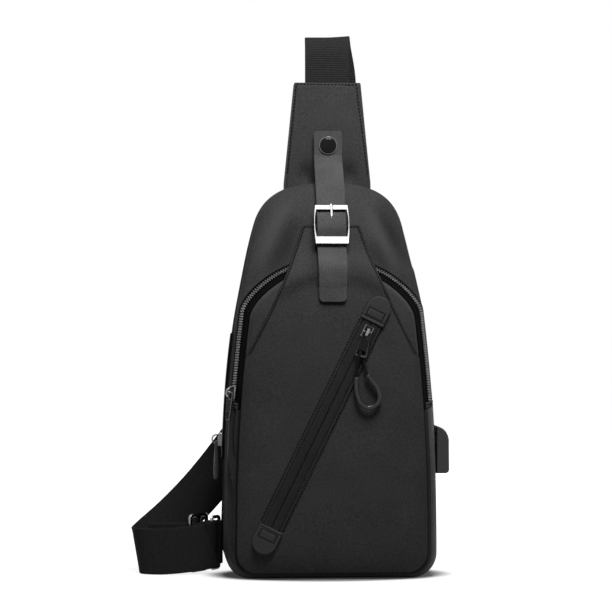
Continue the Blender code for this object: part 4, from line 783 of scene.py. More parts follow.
def plated(name, shade, wear_and_highlight_shade, rough, scale=350.0):
    """Plated metal: paler on its pointed edges, partly from rubbing and partly as a painted highlight, with
    faint smears in its gloss.
    """
    made, tree, place, surface = new_look(name)
    rub, smear = placed(tree, wear_and_highlight, {"Vector": place, "Scale": scale})
    plug(surface, {
        "Base Color": blend_colours(tree, rub, grey(shade), grey(wear_and_highlight_shade)), "Metallic": 1.0,
        "Roughness": remap(tree, smear, 0, 1, rough * 0.7, rough * 1.5),
        "Normal": raised(tree, smear, 0.15, 0.0001),
    })
    return made


black_nickel = plated("black nickel", 0.014, 0.85, 0.18)
tooth_metal = plated("tooth metal", 0.016, 0.34, 0.30)
TOOTH_PITCH = 0.00105
TOOTH = barrel(
    [(-0.0023, 0.00012, 0.0002, 0), (-0.0021, 0.00046, 0.0006, 0), (-0.0013, 0.00056, 0.00092, 0),
     (-0.0003, 0.00044, 0.00080, 0), (0.0003, 0.00034, 0.0005, 0), (0.0005, 0.00012, 0.0002, 0)], 8)


def tooth_row(name, line, across, out, lift, node):
    """Two interlocking rows of teeth along a line: every second tooth is turned to the other side."""
    run = run_of(line)
    at = np.arange(TOOTH_PITCH / 2, run[-1], TOOTH_PITCH)
    places, wide, up = (taken(at, run, values) for values in (line, across, out))
    flip = np.where(np.arange(len(at)) % 2, 1.0, -1.0)[:, None]
    axes = (wide * flip, np.cross(up, wide) * flip, up)
    dress(name, repeated(name, places + up * lift, axes, *TOOTH), tooth_metal, [node])


chain_start = right_index(CHAIN_FOOT)
chain_index = np.linspace(chain_start, round_count - chain_start, 400)
rim = unit(on_loop(band_loop, chain_index) - on_loop(cover_loop, chain_index))
line = on_loop(zip_line, chain_index)
rim_out = unit(np.cross(rim, np.gradient(line, axis=0)))
tooth_row("main_zip_teeth", line, rim, rim_out, 0.0010, "main_zip_chain")

# The lower strip is puffed, falls in slanting folds on its left side and has a ridge by the panel.
strip_index = np.linspace(zip_end + 0.03, round_count + zip_start - 0.03, 340)
strip_shares = np.r_[-0.02, np.linspace(0.02, 0.98, 40), 1.0]
sx, _, sz = on_loop(zip_line, strip_index).T
row_share = strip_shares[:, None]
round_share = np.sin(math.pi * np.clip(row_share, 0, 1))
left_side = smooth_step(-sx, 0.05, 0.075) * smooth_step(sz, 0.01, 0.03)
lean = 1.6 * row_share + 13 * sz + 0.35 * np.sin(70 * sz) * row_share
fold = left_side * (0.0019 * np.sin(2 * math.pi * lean) + 0.0006 * np.sin(2 * math.pi * (2.3 * lean + 0.4)))
ridge = 0.0009 * bell(row_share - 0.80, 0.05) - 0.0026 * smooth_step(row_share, 0.86, 0.98)
strip_points = band_strip(strip_index, strip_shares, 0.0011 * round_share**0.7 + fold * round_share + ridge)
strip_points[..., 2] = np.maximum(strip_points[..., 2], 0.0)
# The strip's cloth is a darker copy of the body's cloth: painted shade on the gusset's sides and base.
shaded_strip_cloth = coated_cloth("lower gusset cloth", 0.024, rough=0.42, gloss=0.08)
sheet("lower_gusset_cloth", strip_points, shaded_strip_cloth, "lower_gusset", wall=0.0009)

tab_start = right_index(END_TAB_TOP)
lengthways, crossways = np.linspace(0, 1, 22), np.linspace(0, 1, 20)[:, None]
edge = (1 - np.abs(2 * lengthways - 1) ** 8) ** 0.5 * (1 - np.abs(2 * crossways - 1) ** 8) ** 0.5
for side, low, high in (("right", zip_start, tab_start), ("left", round_count - tab_start, zip_end)):
    top_end = 1 - lengthways if side == "left" else lengthways
    fold_line = 0.0006 * bell(top_end - 0.80, 0.10) - 0.0006 * bell(top_end - 0.60, 0.05)
    puff = 0.0002 + 0.0016 * edge + fold_line * edge
    points = band_strip(np.linspace(low, high, 22), np.linspace(0.06, 0.78, 20), puff)
    sheet(f"zip_end_{side}_cloth", points, gore_cloth, "zip_end_tab_" + side)

for name in ("main_zip_slider", "main_zip_pull", "side_zip_slider", "pocket_zip_slider", "pocket_zip_pull"):
    coat_node(name, black_nickel, 0.0004)


# Side zip on the left gusset: a short tape and teeth that stand upright on the cloth, and a soft
# moulded leather tab on its slider.

SIDE_DEPTH, SIDE_HALF, SIDE_FOOT, SIDE_TOP = 0.012, 0.008, 0.096, 0.200
side_heights = np.linspace(SIDE_FOOT, SIDE_TOP, 60)
side_widths = np.linspace(-SIDE_HALF, SIDE_HALF, 12)[:, None]
side_wall = -half_width(BODY, side_heights)
side_lift = 0.0014 - 0.0008 * np.abs(side_widths / SIDE_HALF) ** 6
side_points = grid_of(side_wall - side_lift, SIDE_DEPTH + side_widths, side_heights)[::-1]
sheet("side_zip_tape_cloth", side_points, tape_look, "side_zip_tape", wall=0.0009)
side_line = grid_of(side_wall - 0.0012, SIDE_DEPTH, side_heights)
side_across = np.broadcast_to((0.0, 1.0, 0.0), side_line.shape)
side_out = unit(np.cross(np.gradient(side_line, axis=0), side_across))
side_out *= np.where(side_out[:, :1] > 0, -1, 1)
tooth_row("side_zip_teeth", side_line, side_across, side_out, 0.0004, "side_zip_chain")

hide, (vector, cell_scale, _), hide_end = effect("leather grain", ["Cells"], ["Tone", "Height"])
cell_place = {"Vector": vector, "Scale": cell_scale}
cells = add(hide, "TexVoronoi", cell_place, out="Distance", feature="DISTANCE_TO_EDGE")
crease = remap(hide, cells, 0, 0.18)
mellow = maths(hide, "MULTIPLY", noise(hide, vector, 60.0, 5.0), 0.65)
plug(hide_end, {
    "Tone": maths(hide, "MULTIPLY_ADD", crease, 0.35, mellow),
    "Height": maths(hide, "MULTIPLY_ADD", noise(hide, vector, 1900.0), 0.5, crease),
})


def leather(name, shade, cells=720.0, rough=0.55):
    """Fine grained leather: small pebbles with darker creases between them, paler by a stored share of
    rubbing and painted highlight.
    """
    made, tree, place, surface = new_look(name)
    tone, height = placed(tree, hide, {"Vector": place, "Cells": cells})
    tinted = blend_colours(tree, tone, grey(shade * 0.45), grey(shade * 1.45))
    plug(surface, {
        "Base Color": blend_colours(tree, stored(tree, "rubbed"), tinted, grey(shade * 1.7)),
        "Normal": raised(tree, height, 0.8, 0.0003), "Roughness": rough, "Specular IOR Level": 0.05,
    })
    return made


def band_profile(half, thick, steps=8, corner=0.45):
    """Closed section of a flat band, about its middle: width by thickness, with rounded edges."""
    radius = corner * thick
    turn = np.radians(np.linspace(0, 90, 4))
    quarter = grid_of(half - radius + radius * np.cos(turn), thick / 2 - radius + radius * np.sin(turn))
    flat = np.linspace((half - radius, thick / 2), (radius - half, thick / 2), steps + 2)[1:-1]
    top = np.vstack([quarter, flat, quarter[::-1] * (-1, 1)])
    return np.vstack([top, top[::-1] * (1, -1)])


def closed_ends(points):
    """The rows of a carried section with each end drawn in to its middle."""
    ends = (np.broadcast_to(row.mean(axis=0), row.shape)[None] for row in (points[0], points[-1]))
    return np.concatenate([next(ends), points, next(ends)])


def carried(path, side, section):
    """A section carried along a path, with its side direction made square to it, and closed at both ends.

    section is one closed loop, or one for each row.
    """
    along, side = unit(np.gradient(path, axis=0)), np.asarray(side)
    side = unit(side - along * (side * along).sum(axis=1, keepdims=True))
    section = np.broadcast_to(section, (len(path),) + section.shape[-2:])
    out = np.cross(along, side)
    return closed_ends(path[:, None] + section[..., :1] * side[:, None] + section[..., 1:] * out[:, None])


low_corner, high_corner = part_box("side_zip_pull")
pull_middle = (low_corner.x + high_corner.x) / 2
pull_top = np.asarray((pull_middle + 0.0011, SIDE_DEPTH, high_corner.z - 0.0022))
pull_foot = np.asarray((pull_middle + 0.0006, SIDE_DEPTH, low_corner.z + 0.0001))
share = np.r_[0, np.linspace(0.004, 0.996, 40), 1]
end_round = [np.sqrt(np.clip(1 - (2 * share - 1) ** power, 0.02, 1)) for power in (22, 20)]
pull_half = 0.0033 * (0.72 + 0.28 * smooth_step(share, 0.1, 0.5)) * end_round[0]
pull_thick = 0.0011 * (1 + 0.35 * np.sin(math.pi * share)) * end_round[1]
sections = band_profile(1.0, 2.0, corner=0.30) * grid_of(pull_half, pull_thick)[:, None]
twist = math.radians(27) * smooth_step(share, 0.15, 0.75)
pull_path = pull_top + share[:, None] * (pull_foot - pull_top)
pull_points = carried(pull_path, grid_of(-np.sin(twist), np.cos(twist), 0.0), sections)
tab_leather = leather("tab leather", 0.085, rough=0.45)
sheet("side_pull_leather", pull_points, tab_leather, "side_zip_pull", body="side_pull", closed=True)


# Slanted front pocket: two soft welt lips that meet over a hidden coil zip, a topstitched panel
# edge along each, and a rounded cloth tab sewn over both ends with a stitched box.

_, welt_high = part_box("pocket_welt_left")
POCKET_LENGTH, WELT_SEAM, WELT_PIPING = 0.184215, 0.0101, 0.0083
pocket_up, pocket_across = np.asarray((0.439161, 0.0, 0.898408)), np.asarray((0.898408, 0.0, -0.439161))
pocket_top = np.asarray((0.0311, welt_high.y, 0.2092))


def on_pocket(across, along, lift):
    """Points in the pocket zip's frame: across it, up along it from its top end, and out of the panel."""
    across, along, lift = (a[..., None] for a in np.broadcast_arrays(across, along, lift))
    return pocket_top + across * pocket_across + along * pocket_up + lift * np.asarray(FRONT)


welt_cloth = coated_cloth("welt cloth", 0.034)
welt_at = np.linspace(-POCKET_LENGTH - 0.007, 0.007, 120)
welt_across, welt_lift = np.asarray([
    (0.00006, -0.0002), (0.00012, 0.0004), (0.0004, 0.00072), (0.0011, 0.00088), (0.0022, 0.00095),
    (0.0036, 0.00096), (0.0050, 0.00094), (0.0061, 0.00082), (0.0067, 0.00055), (0.0071, 0.00015),
    (0.0073, 0.00008), (0.0076, 0.00045), (0.0079, 0.00085), (WELT_PIPING, 0.00100), (0.0087, 0.00085),
    (0.0090, 0.00045), (0.0092, -0.0004),
]).T[..., None]
for side, sign in (("left", -1), ("right", 1)):
    lip = on_pocket(sign * welt_across, welt_at, welt_lift + 0.00005 * np.sin(welt_at * 320))
    piped = 0.5 * bell(welt_across - WELT_PIPING, 0.0004)
    sheet(side + "_welt_lip", lip[::-sign], welt_cloth, "pocket_welt_" + side, rubbed=piped[::-sign])
    row = on_pocket(sign * WELT_SEAM, np.linspace(-POCKET_LENGTH + 0.001, -0.001, 60), 0.0)
    row[:, 1] = panel_front(row[:, 0], row[:, 2]) - THREAD_SINK
    stitches(side + "_welt_stitch", row, panel_normal(row[:, 0], row[:, 2]), pitch=0.0025, length=0.0018)


def tube(path, radius, sides):
    """A round bar along a path: rows along it, each a circle in the plane square to the path."""
    along = unit(np.gradient(path, axis=0))
    side = unit(np.cross(along, FRONT))
    turn = np.linspace(0, 2 * math.pi, sides, endpoint=False)[:, None]
    circle = np.cos(turn) * side[:, None] + np.sin(turn) * np.cross(side, along)[:, None]
    return path[:, None] + np.broadcast_to(radius, (len(path),))[:, None, None] * circle


COIL_TURNS, COIL_STEPS = 150, 1800
coil_turn = np.linspace(0, 2 * math.pi * COIL_TURNS, COIL_STEPS)
coil_at = np.linspace(-POCKET_LENGTH - 0.006, 0.006, COIL_STEPS)
coil_path = on_pocket(0.0005 * np.cos(coil_turn), coil_at, 0.00035 + 0.00025 * np.sin(coil_turn))
sheet("pocket_zip_coil", tube(coil_path, 0.00022, 5), tape_look, "pocket_zip_chain", closed=True)

TAB_HALF, TAB_STRAIGHT, TAB_LIFT, TAB_HEM, TAB_SEAM_LIFT = 0.0103, 0.0126, 0.0018, 0.0013, 0.00165
round_rows = TAB_STRAIGHT + TAB_HALF * np.sin(np.radians(np.linspace(0, 90, 26)))[1:]
tb = np.r_[np.linspace(0, TAB_STRAIGHT, 34), round_rows][:, None]
round_half = np.sqrt(np.maximum(TAB_HALF**2 - (tb - TAB_STRAIGHT) ** 2, 1e-10))
ta = edge_close[::2] * np.where(tb <= TAB_STRAIGHT, TAB_HALF, round_half)
side_off = np.minimum(TAB_HALF - np.abs(ta), tb)
tab_off = np.where(tb > TAB_STRAIGHT, TAB_HALF - np.hypot(ta, tb - TAB_STRAIGHT), side_off)
hem_rise = 0.0004 * bell(tb - TAB_HEM, 0.0008) - 0.0005 * bell(tb - 0.0029, 0.0005)
BOX_HALF, BOX_LOW, BOX_HIGH = 0.0070, 0.0039, 0.0108
box_off = np.maximum(np.abs(ta) - BOX_HALF, np.maximum(BOX_LOW - tb, tb - BOX_HIGH))
box_seam = 0.00035 * bell(box_off, 0.0006)
tab_edge = rounded_edge(np.maximum(tab_off, 0), 0.0012)
tab_lift = TAB_LIFT - tab_edge + hem_rise - box_seam + 0.0002 * (box_off < -0.0012)
tab_cloth = coated_cloth("end tab cloth", 0.025, rough=0.42, gloss=0.18)
box_across = BOX_HALF * np.asarray((-1, 1, 1, -1, -1))
box_along = np.asarray((BOX_LOW, BOX_LOW, BOX_HIGH, BOX_HIGH, BOX_LOW))
for end, turn, shift in (("top", 1.0, 0.0), ("bottom", -1.0, -POCKET_LENGTH)):
    points = on_pocket(turn * ta, turn * tb + shift, tab_lift)
    # The tab is paler along its hem's fold and just inside its edge, and painted shade darkens the stitched
    # box and the tab's edge.
    sheet(
        f"pocket_{end}_tab", points, tab_cloth, "pocket_tab_" + end,
        rubbed=0.5 * bell(tb - TAB_HEM, 0.0007) + 0.25 * bell(tab_off - 0.0008, 0.0006),
        pressed=np.maximum(0.7 * bell(box_off, 0.0005), 0.8 * bell(tab_off, 0.0005)),
    )
    path = on_pocket(turn * box_across, turn * box_along + shift, TAB_SEAM_LIFT)
    stitches(f"pocket_{end}_tab_stitch", path, FRONT, pitch=0.0017, length=0.0012, radius=0.00038)


# Pull loop of the pocket zip: a thin braided cord through the pull's eye, with both its ends in a
# soft rubber sleeve that is bent round as a drop; a collar is moulded on each end of the sleeve.

def smooth_path(points, steps):
    """A smooth curve through points, by the Catmull-Rom weights, with some steps between each pair."""
    p = np.asarray(points, float)
    p = np.vstack([2 * p[0] - p[1], p, 2 * p[-1] - p[-2]])
    t = np.linspace(0, 1, steps, endpoint=False)[None, :, None]
    a, b, c, d = (p[k:len(p) - 3 + k][:, None] for k in range(4))
    runs = 0.5 * (2 * b + (c - a) * t + (2 * a - 5 * b + 4 * c - d) * t**2 + (3 * b - a - 3 * c + d) * t**3)
    return np.vstack([runs.reshape(-1, p.shape[1]), p[-2:-1]])


PULL_EYE = np.asarray((0.02192, -0.04905, 0.182631))
CORD_RADIUS, SLEEVE_RADIUS = 0.00105, 0.0019


def from_eye(route, steps):
    """A smooth path from a route that is told from the pull's eye: across, up and out of the bag."""
    x, z, out = smooth_path(route, steps).T
    return PULL_EYE + grid_of(x, -out, z)


turn_radius = 0.0008 + 0.0011 + 0.0007
turn = np.linspace(-1, 1, 5)
swing = np.radians(110 * turn)
cord_path = from_eye(np.vstack([
    [(-0.0032, -0.0190, 0), (-0.0029, -0.0100, 0.0012)],
    grid_of(0.0015 * turn, turn_radius * np.cos(swing), -turn_radius * np.sin(swing)),
    [(0.0036, -0.0085, -0.0012), (0.0058, -0.0170, 0)],
]), 10)
cord_look = woven_band("pull cord", 0.016, 0.0009, 0.0008, 0.00015)
cord_points = tube(cord_path, CORD_RADIUS, 12)
sheet("pull_loop_cord", cord_points, cord_look, "pull_cord", body="pull_loop", closed=True)

sleeve_path = from_eye([
    (-0.0032, -0.0173, 0), (-0.0035, -0.0240, 0), (-0.0025, -0.0320, 0), (0.0005, -0.0385, 0),
    (0.0065, -0.0420, 0), (0.0128, -0.0393, 0), (0.0154, -0.0330, 0), (0.0136, -0.0265, 0),
    (0.0095, -0.0205, 0), (0.0054, -0.0152, 0),
], 14)
run = run_of(sleeve_path)
from_end = np.minimum(run, run[-1] - run)
collar = 0.00045 * smooth_step(-from_end, -0.0024, -0.0019)
sleeve_radius = SLEEVE_RADIUS + collar - 0.0006 * smooth_step(-from_end, -0.0004, 0)
rubber, tree, place, surface = new_look("soft rubber")
bloom = noise(tree, place, 90.0, 5.0)
plug(surface, {
    "Base Color": blend_colours(tree, bloom, grey(0.006), grey(0.018)),
    "Roughness": remap(tree, bloom, 0, 1, 0.18, 0.34),
    "Normal": raised(tree, noise(tree, place, 2200.0, 1.0), 0.3, 0.00008), "Specular IOR Level": 0.4,
})
sleeve_points = closed_ends(tube(sleeve_path, sleeve_radius, 18))
sheet("pull_loop_sleeve", sleeve_points, rubber, "pull_sleeve", body="pull_loop", closed=True)


# Neck: a padded trapezoid on the crown, that the shoulder strap comes out of. Front and back cloth
# are sewn together round a foam core with one row of black topstitch near the edge.
NECK_TOP, NECK_FRONT, NECK_REAR, NECK_MIDDLE = 0.411, 0.024, 0.0394, 0.0322
NECK_FOOT_HALF, NECK_TOP_HALF, NECK_CORNER = 0.0365, 0.0280, 0.0012
NECK_SEAM, SEAM_DRIFT, CORE_TOP = 0.0018, 0.0022, 0.391


def neck_half(z):
    """Half width of the neck at a height."""
    return np.interp(z, (BODY_CROWN, NECK_TOP), (NECK_FOOT_HALF, NECK_TOP_HALF))


def neck_relief(x, z):
    """How far the neck's cloth lies behind its face: flange, sewn groove, padding, dents by the strap."""
    off = np.minimum(neck_half(z) - np.abs(x), NECK_TOP - z)
    seam = NECK_SEAM + SEAM_DRIFT * smooth_step(x, 0.010, 0.026) * smooth_step(z, 0.33, NECK_TOP)
    flange = 0.0016 * (1 - smooth_step(off, 0.0, 0.0030))
    hollow = 0.0046 * bell(np.abs(x) - 0.0175, 0.0075) * bell(z - 0.331, 0.0105)
    slack = 0.0003 * np.sin(88 * x + 20 * z) * np.sin(64 * z)
    padding = 0.0009 * smooth_step(off, 0.003, 0.020)
    return flange + 0.0006 * bell(off - seam, 0.0008) + hollow + slack - padding


neck_cloth = coated_cloth("neck cloth", 0.056)
wall = np.r_[0.25, 0.55, 0.85, 1.0]
rise = np.r_[0.5 - 0.5 * np.cos(np.linspace(0, math.pi, 70)), np.ones(4)][:, None]
across = np.r_[-np.ones(4), edge_close, np.ones(4)]
turned = np.maximum(np.r_[np.zeros(70), wall][:, None], np.r_[wall[::-1], np.zeros(len(edge_close)), wall])
foot = crown_height(BODY, across * NECK_FOOT_HALF) - 0.002
nz = foot + rise * (NECK_TOP - foot)
nx = across * (neck_half(nz) - rounded_edge(NECK_TOP - nz, NECK_CORNER))
for side, face, inward in (("front", NECK_FRONT, 1), ("back", NECK_REAR, -1)):
    ny = face + inward * neck_relief(nx, nz)
    points = grid_of(nx, ny + turned * (NECK_MIDDLE - inward * 0.0002 - ny), nz)
    edge_wear_and_highlight = 0.5 * (turned == 0) * bell(neck_half(nz) - np.abs(nx), 0.0010)
    sheet(f"neck_{side}_cloth", points[:, ::inward], neck_cloth, "neck_" + side, wall=0.0010, rubbed=edge_wear_and_highlight)

seam_z = np.linspace(0.334, NECK_TOP - NECK_SEAM, 40)
seam_left = grid_of(NECK_SEAM - neck_half(seam_z), seam_z)
drift = SEAM_DRIFT * smooth_step(seam_z, 0.33, NECK_TOP)
seam_right = grid_of(neck_half(seam_z) - NECK_SEAM - drift, seam_z)
seam_across = np.linspace(seam_left[-1], seam_right[-1], 24)[1:-1]
sx, sz = np.vstack([seam_left, seam_across, seam_right[::-1]]).T
neck_seam = grid_of(sx, NECK_FRONT + neck_relief(sx, sz) - 0.0002, sz)
stitches("neck_topstitch", neck_seam, FRONT, radius=0.0006)

core_rise = np.linspace(0, 1, 24)[:, None]
turn = np.linspace(0, 2 * math.pi, 40, endpoint=False)
core_x = np.sign(np.cos(turn)) * np.abs(np.cos(turn)) ** 0.35 * (0.030 - 0.0065 * core_rise)
core_y = NECK_MIDDLE + np.sign(np.sin(turn)) * np.abs(np.sin(turn)) ** 0.5 * 0.0040
core_foot = crown_height(BODY, core_x) + 0.0006
core_points = closed_ends(grid_of(core_x, core_y, core_foot + core_rise * (CORE_TOP - core_foot)))
foam = coated_cloth("foam", 0.10, rough=0.9, grain=700.0, relief=0.0006)
core = sheet("neck_foam", core_points, foam, "neck_core", closed=True)


# Closure strap: a leather strap that is riveted to a press stud on the neck, runs down through the
# pin buckle and ends in a loose rounded tail. It has a bend above the buckle.

def panel_middle(z):
    """Depth of what lies under the strap: the panel up to the flap's top, then the body."""
    none, panel_end = np.zeros_like(z), FLAP_TOP - 0.002
    return np.where(z < panel_end, panel_front(none, np.minimum(z, panel_end)), body_depth(none, z))


def over_front(z, lift):
    """Points over the front of the bag under the strap, a lift out of its surface."""
    z = np.asarray(z, float)
    slope = (panel_middle(z + 0.004) - panel_middle(z - 0.004)) / 0.008
    return grid_of(0, panel_middle(z), z) + np.reshape(lift, (-1, 1)) * unit(grid_of(0, -1.0, slope))


tilt = math.radians(22)
buckle_up = np.asarray((0.0, math.sin(tilt), math.cos(tilt)))
buckle_out = np.asarray((0.0, -math.cos(tilt), math.sin(tilt)))
BUCKLE_HEIGHT, BUCKLE_HALF_LENGTH, BAR_LIFT = 0.2863, 0.0175, 0.0037
prong_joint = next(j for j in frame["joints"] if j["name"] == "buckle_prong_swing")
buckle_seat = np.asarray(prong_joint["pos_m"]) - BAR_LIFT * buckle_out


def at_buckle(v, lift):
    """Points in the buckle's frame: v up along the strap from its bar, lift out of the bag."""
    return buckle_seat + np.reshape(v, (-1, 1)) * buckle_up + np.reshape(lift, (-1, 1)) * buckle_out


STRAP_THICK, STRAP_HALF, TAIL_HALF, TAIL_ROUND, TOP_ROUND = 0.002, 0.012, 0.0113, 0.0033, 0.0025
TAB_THICK, TAB_BAND_HALF, TAB_TURN = 0.0012, 0.0105, 0.0019
TAIL_HEIGHT, TAB_FOOT = 0.226, 0.246
WINDOW_LOW, WINDOW_HIGH = -0.0105, 0.0129
SNAP_HEIGHT, SNAP_DEPTH = 0.3574, 0.0196
plate_back = BAR_LIFT + TAB_TURN + TAB_THICK / 2
under_bars = plate_back - 0.0006 - STRAP_THICK / 2
over_bar = BAR_LIFT + 0.0022 + 0.0009 + 0.0003 + STRAP_THICK / 2
over_tab = 0.0012 + TAB_THICK + STRAP_THICK / 2
tail_foot = over_front(
    [TAIL_HEIGHT, (TAIL_HEIGHT + TAB_FOOT) / 2, TAB_FOOT - 0.002, TAB_FOOT + 0.007, TAB_FOOT + 0.0145],
    [0.0016, 0.0025, over_tab, over_tab + 0.0003, over_tab + 0.0003],
)
weave_up, weave_share, weave_drop = np.asarray([
    (-BUCKLE_HALF_LENGTH - 0.001, 0, 0.0004), (WINDOW_LOW - 0.0035, 0, 0.0001), (WINDOW_LOW - 0.0002, 0, 0),
    (-0.0065, 0.5, 0), (-0.0030, 0.9, 0), (0, 1, 0), (0.0035, 1, 0), (0.0073, 0.93, 0), (0.0100, 0.62, 0),
    (WINDOW_HIGH - 0.0002, 0, 0), (WINDOW_HIGH + 0.0024, 0, 0.0001), (BUCKLE_HALF_LENGTH + 0.002, 0, 0.0004),
    (0.0223, 0, 0.0007),
]).T
strap_weave = at_buckle(weave_up, under_bars + weave_share * (over_bar - under_bars) - weave_drop)
strap_middle = SNAP_DEPTH - STRAP_THICK / 2
snap_foot = SNAP_HEIGHT - 0.0075
strap_upper = np.asarray([
    (0, -0.0095, 0.3175), (0, -0.0005, 0.3275), (0, 0.0080, 0.3365), (0, 0.0140, snap_foot - 0.0078),
    (0, strap_middle - 0.0010, snap_foot - 0.0026), (0, strap_middle, snap_foot + 0.0004),
    (0, strap_middle, SNAP_HEIGHT), (0, strap_middle, 0.3675), (0, strap_middle, 0.3695),
])
strap_path = smooth_path(np.vstack([tail_foot, strap_weave, strap_upper]), 12)
run = run_of(strap_path)
length = run[-1]
at = np.r_[
    np.linspace(0, 0.004, 14), np.linspace(0.004, length - 0.003, 260)[1:-1],
    np.linspace(length - 0.003, length, 12),
]
strap_path = taken(at, run, strap_path)
strap_half = np.interp(strap_path[:, 2], (TAIL_HEIGHT, 0.262), (TAIL_HALF, STRAP_HALF))
strap_half = (strap_half - rounded_edge(at, TAIL_ROUND) - rounded_edge(length - at, TOP_ROUND))[:, None]
profile = band_profile(1.0, STRAP_THICK, steps=14, corner=0.42)
reach = np.abs(profile[:, 0])
wide = np.where(reach > 0.998, strap_half - (1 - reach), reach * strap_half)
sections = grid_of(np.sign(profile[:, 0]) * wide, profile[:, 1])
strap_leather = leather("strap leather", 0.092)
strap = sheet(
    "closure_strap", carried(strap_path, RIGHT, sections), strap_leather,
    "closure_strap_tail", "closure_strap_upper", body=None, closed=True,
)
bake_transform(strap)

tab_turn = np.radians((0, 60, 120, 180, 240, 285))
tab_path = smooth_path(np.vstack([
    over_front(np.linspace(TAB_FOOT, BUCKLE_HEIGHT - 0.008, 6), 0.0006 + TAB_THICK / 2),
    at_buckle(TAB_TURN * np.sin(tab_turn), BAR_LIFT - TAB_TURN * np.cos(tab_turn)),
]), 8)
tab_points = carried(tab_path, RIGHT, band_profile(TAB_BAND_HALF, TAB_THICK))
sheet("buckle_tab_leather", tab_points, strap_leather, "buckle_tab", closed=True)

bright_plate = plated("bright plate", 0.076, 0.42, 0.26, scale=900.0)
coat_node("buckle_frame", bright_plate, 0.0003)
for name in ("buckle_prong", "snap_socket", "snap_stud", "snap_washer", "usb_socket_shell"):
    coat_node(name, bright_plate)


# Press stud cap: a domed steel cap in black enamel, with a rolled rim, set through the strap.
enamel, tree, place, surface = new_look("black enamel")
haze, bare = noise(tree, place, 260.0, 5.0), stored(tree, "rubbed")
black = blend_colours(tree, haze, grey(0.004), grey(0.009))
plug(surface, {
    "Base Color": blend_colours(tree, bare, black, grey(0.32)), "Metallic": bare,
    "Roughness": remap(tree, haze, 0, 1, 0.05, 0.16), "Specular IOR Level": 0.10,
})
CAP_RADIUS, CAP_RISE, CAP_RIM, CAP_SIDES = 0.0075, 0.0026, 0.965, 64
dome = np.radians(np.linspace(2, 78, 16))
dome_reach, dome_rise = 0.92 * np.sin(dome) / math.sin(dome[-1]), CAP_RISE * (0.34 + 0.66 * np.cos(dome))
cap_profile = np.vstack([
    grid_of(dome_reach, dome_rise),
    [(0.945, 0.00095), (CAP_RIM, 0.00105), (0.985, 0.00100), (1, 0.00075), (1, 0.0002), (0.985, 0), (0.5, 0),
     (0.02, 0)],
])[::-1, :, None]
cap_reach, cap_rise = CAP_RADIUS * cap_profile[:, 0], cap_profile[:, 1]
turn = np.linspace(0, 2 * math.pi, CAP_SIDES, endpoint=False)
cap_seat = SNAP_DEPTH - STRAP_THICK - 0.0003
cap_points = grid_of(cap_reach * np.cos(turn), cap_seat - cap_rise, SNAP_HEIGHT + cap_reach * np.sin(turn))
cap_rim = bell(np.r_[0, cap_profile[:, 0, 0], 0] - CAP_RIM, 0.022)[:, None]
sheet(
    "press_stud_cap", closed_ends(cap_points), enamel, "snap_cap", body="closure_flap", closed=True,
    rubbed=cap_rim,
)


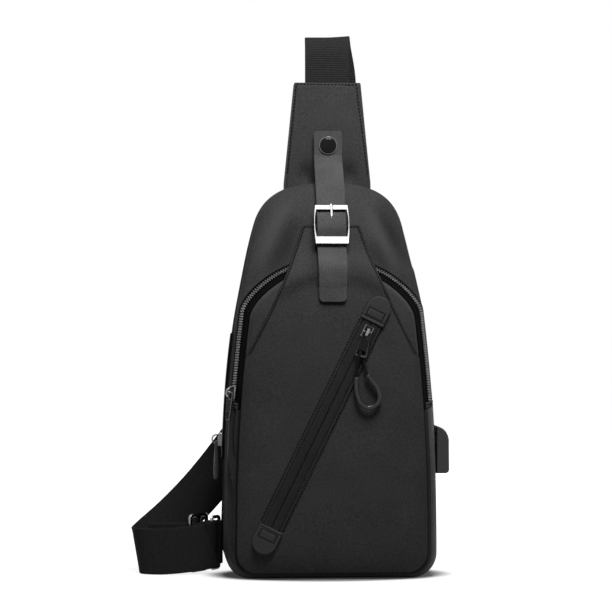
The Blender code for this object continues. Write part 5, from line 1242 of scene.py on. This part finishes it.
# Shoulder strap: black ribbed webbing that leaves the neck, folds over behind it, runs down the back
# and forward to the floor, and ends in a ring that a webbing tab holds to the lower left corner.
STRAP_WIDTH, WEBBING, TAB_WIDTH, TAB_WEBBING = 0.038, 0.0016, 0.036, 0.0014
BEHIND, FLOOR_LIFT, RING_HEIGHT, RING_BEND = 0.0448, 0.0193, 0.0253, 0.0025
tab_wall = -half_width(BODY, RING_HEIGHT + 0.018) - 0.0003 - 0.0007
rear_bar = np.asarray((tab_wall - RING_BEND, 0.020))
front_bar = rear_bar - 0.0127 * np.asarray((0.5, math.cos(math.radians(30))))
fold = front_bar - (0.0027, 0)
tail_depth = 0.0155
turn_out = tail_depth - fold[1]
front_layer = fold[1] - turn_out
STRAP_ROUTE = np.asarray([
    (0.0004, NECK_MIDDLE, 0.393, 1, 0, 0), (0.0004, NECK_MIDDLE - 0.0003, 0.421, 1, 0, 0),
    (0.0004, NECK_MIDDLE + 0.0005, 0.440, 1, 0, 0.02), (0.0007, NECK_MIDDLE + 0.007, 0.4502, 1, 0, 0.03),
    (0.0025, NECK_MIDDLE + 0.014, 0.441, 1, 0, 0), (0.0072, BEHIND + 0.006, 0.412, 1, 0, 0),
    (0.0070, BEHIND + 0.0105, 0.365, 1, 0, 0), (0.005, BEHIND + 0.0115, 0.305, 1, 0, 0),
    (0.000, BEHIND + 0.0115, 0.250, 0.99, 0, -0.12), (-0.014, BEHIND + 0.0115, 0.200, 0.92, 0, -0.38),
    (-0.042, BEHIND + 0.0115, 0.150, 0.80, 0, -0.60), (-0.075, BEHIND + 0.0110, 0.104, 0.75, 0, -0.66),
    (-0.103, BEHIND + 0.0075, 0.069, 0.70, 0, -0.71), (-0.128, 0.046, 0.0435, 0.55, 0, -0.83),
    (-0.149, 0.035, 0.0265, 0.30, 0, -0.97), (-0.159, 0.024, 0.0200, 0.20, 0, -1),
    (-0.1595, 0.013, FLOOR_LIFT, 0.15, 0, -1), (-0.153, front_layer + 0.003, FLOOR_LIFT, 0.02, 0, -1),
    (-0.136, front_layer, FLOOR_LIFT, -0.12, 0, -1), (-0.114, front_layer, FLOOR_LIFT + 0.002, -0.10, 0, -1),
    (fold[0], front_layer, RING_HEIGHT - 0.0015, 0, 0, -1),
    (fold[0] + 0.72 * turn_out, fold[1] - 0.70 * turn_out, RING_HEIGHT, 0, 0, -1),
    (fold[0] + turn_out, fold[1], RING_HEIGHT, 0, 0, -1),
    (fold[0] + 0.72 * turn_out, fold[1] + 0.70 * turn_out, RING_HEIGHT, 0, 0, -1),
    (fold[0], tail_depth, RING_HEIGHT - 0.001, 0, 0, -1), (fold[0] - 0.006, tail_depth, 0.0228, 0, 0, -1),
    (-0.128, tail_depth, 0.0228, 0, 0, -1), (-0.150, tail_depth, 0.0228, 0, 0, -1),
])
strap_line = smooth_path(STRAP_ROUTE, 14)


def webbing(width, thick):
    """Section of a webbing: flat, with rounded edges."""
    return band_profile(width / 2, thick, steps=16, corner=0.49)


webbing_look = woven_band("strap webbing", 0.028, 0.0019, 0.0011, 0.00032, spread=0.6)
webbing_points = carried(strap_line[:, :3], strap_line[:, 3:], webbing(STRAP_WIDTH, WEBBING))
sheet("shoulder_webbing", webbing_points, webbing_look, "shoulder_strap", closed=True)

bend = np.radians((0, -45, -90, -135, -180))
outer_wall = tab_wall - 0.0017
anchor = np.vstack([
    [(tab_wall, BACK_SEAM - 0.002), (tab_wall, rear_bar[1] + 0.004)],
    rear_bar + RING_BEND * grid_of(np.cos(bend), np.sin(bend)),
    [(outer_wall - 0.0016, rear_bar[1] + 0.005), (outer_wall, rear_bar[1] + 0.0085),
     (outer_wall, BACK_SEAM - 0.002)],
])
anchor_path = smooth_path(np.insert(anchor, 2, RING_HEIGHT, axis=1), 8)
tab_points = carried(anchor_path, UP, webbing(TAB_WIDTH, TAB_WEBBING))
sheet("strap_tab_webbing", tab_points, webbing_look, "strap_tab", closed=True)

coat_node("strap_ring", black_nickel)
coat_node("strap_adjuster", black_nickel, 0.0002)


# USB port: a soft rubber hood on the right gusset with a plated socket and its white contact tongue.
coat_node("usb_housing", rubber, 0.0006, 3)
tongue, tree, place, surface = new_look("contact tongue")
cloudy = blend_colours(tree, noise(tree, place, 300.0), (0.52, 0.52, 0.54, 1), (0.66, 0.66, 0.67, 1))
plug(surface, {"Base Color": cloudy, "Roughness": 0.4})
coat_node("usb_tongue", tongue)
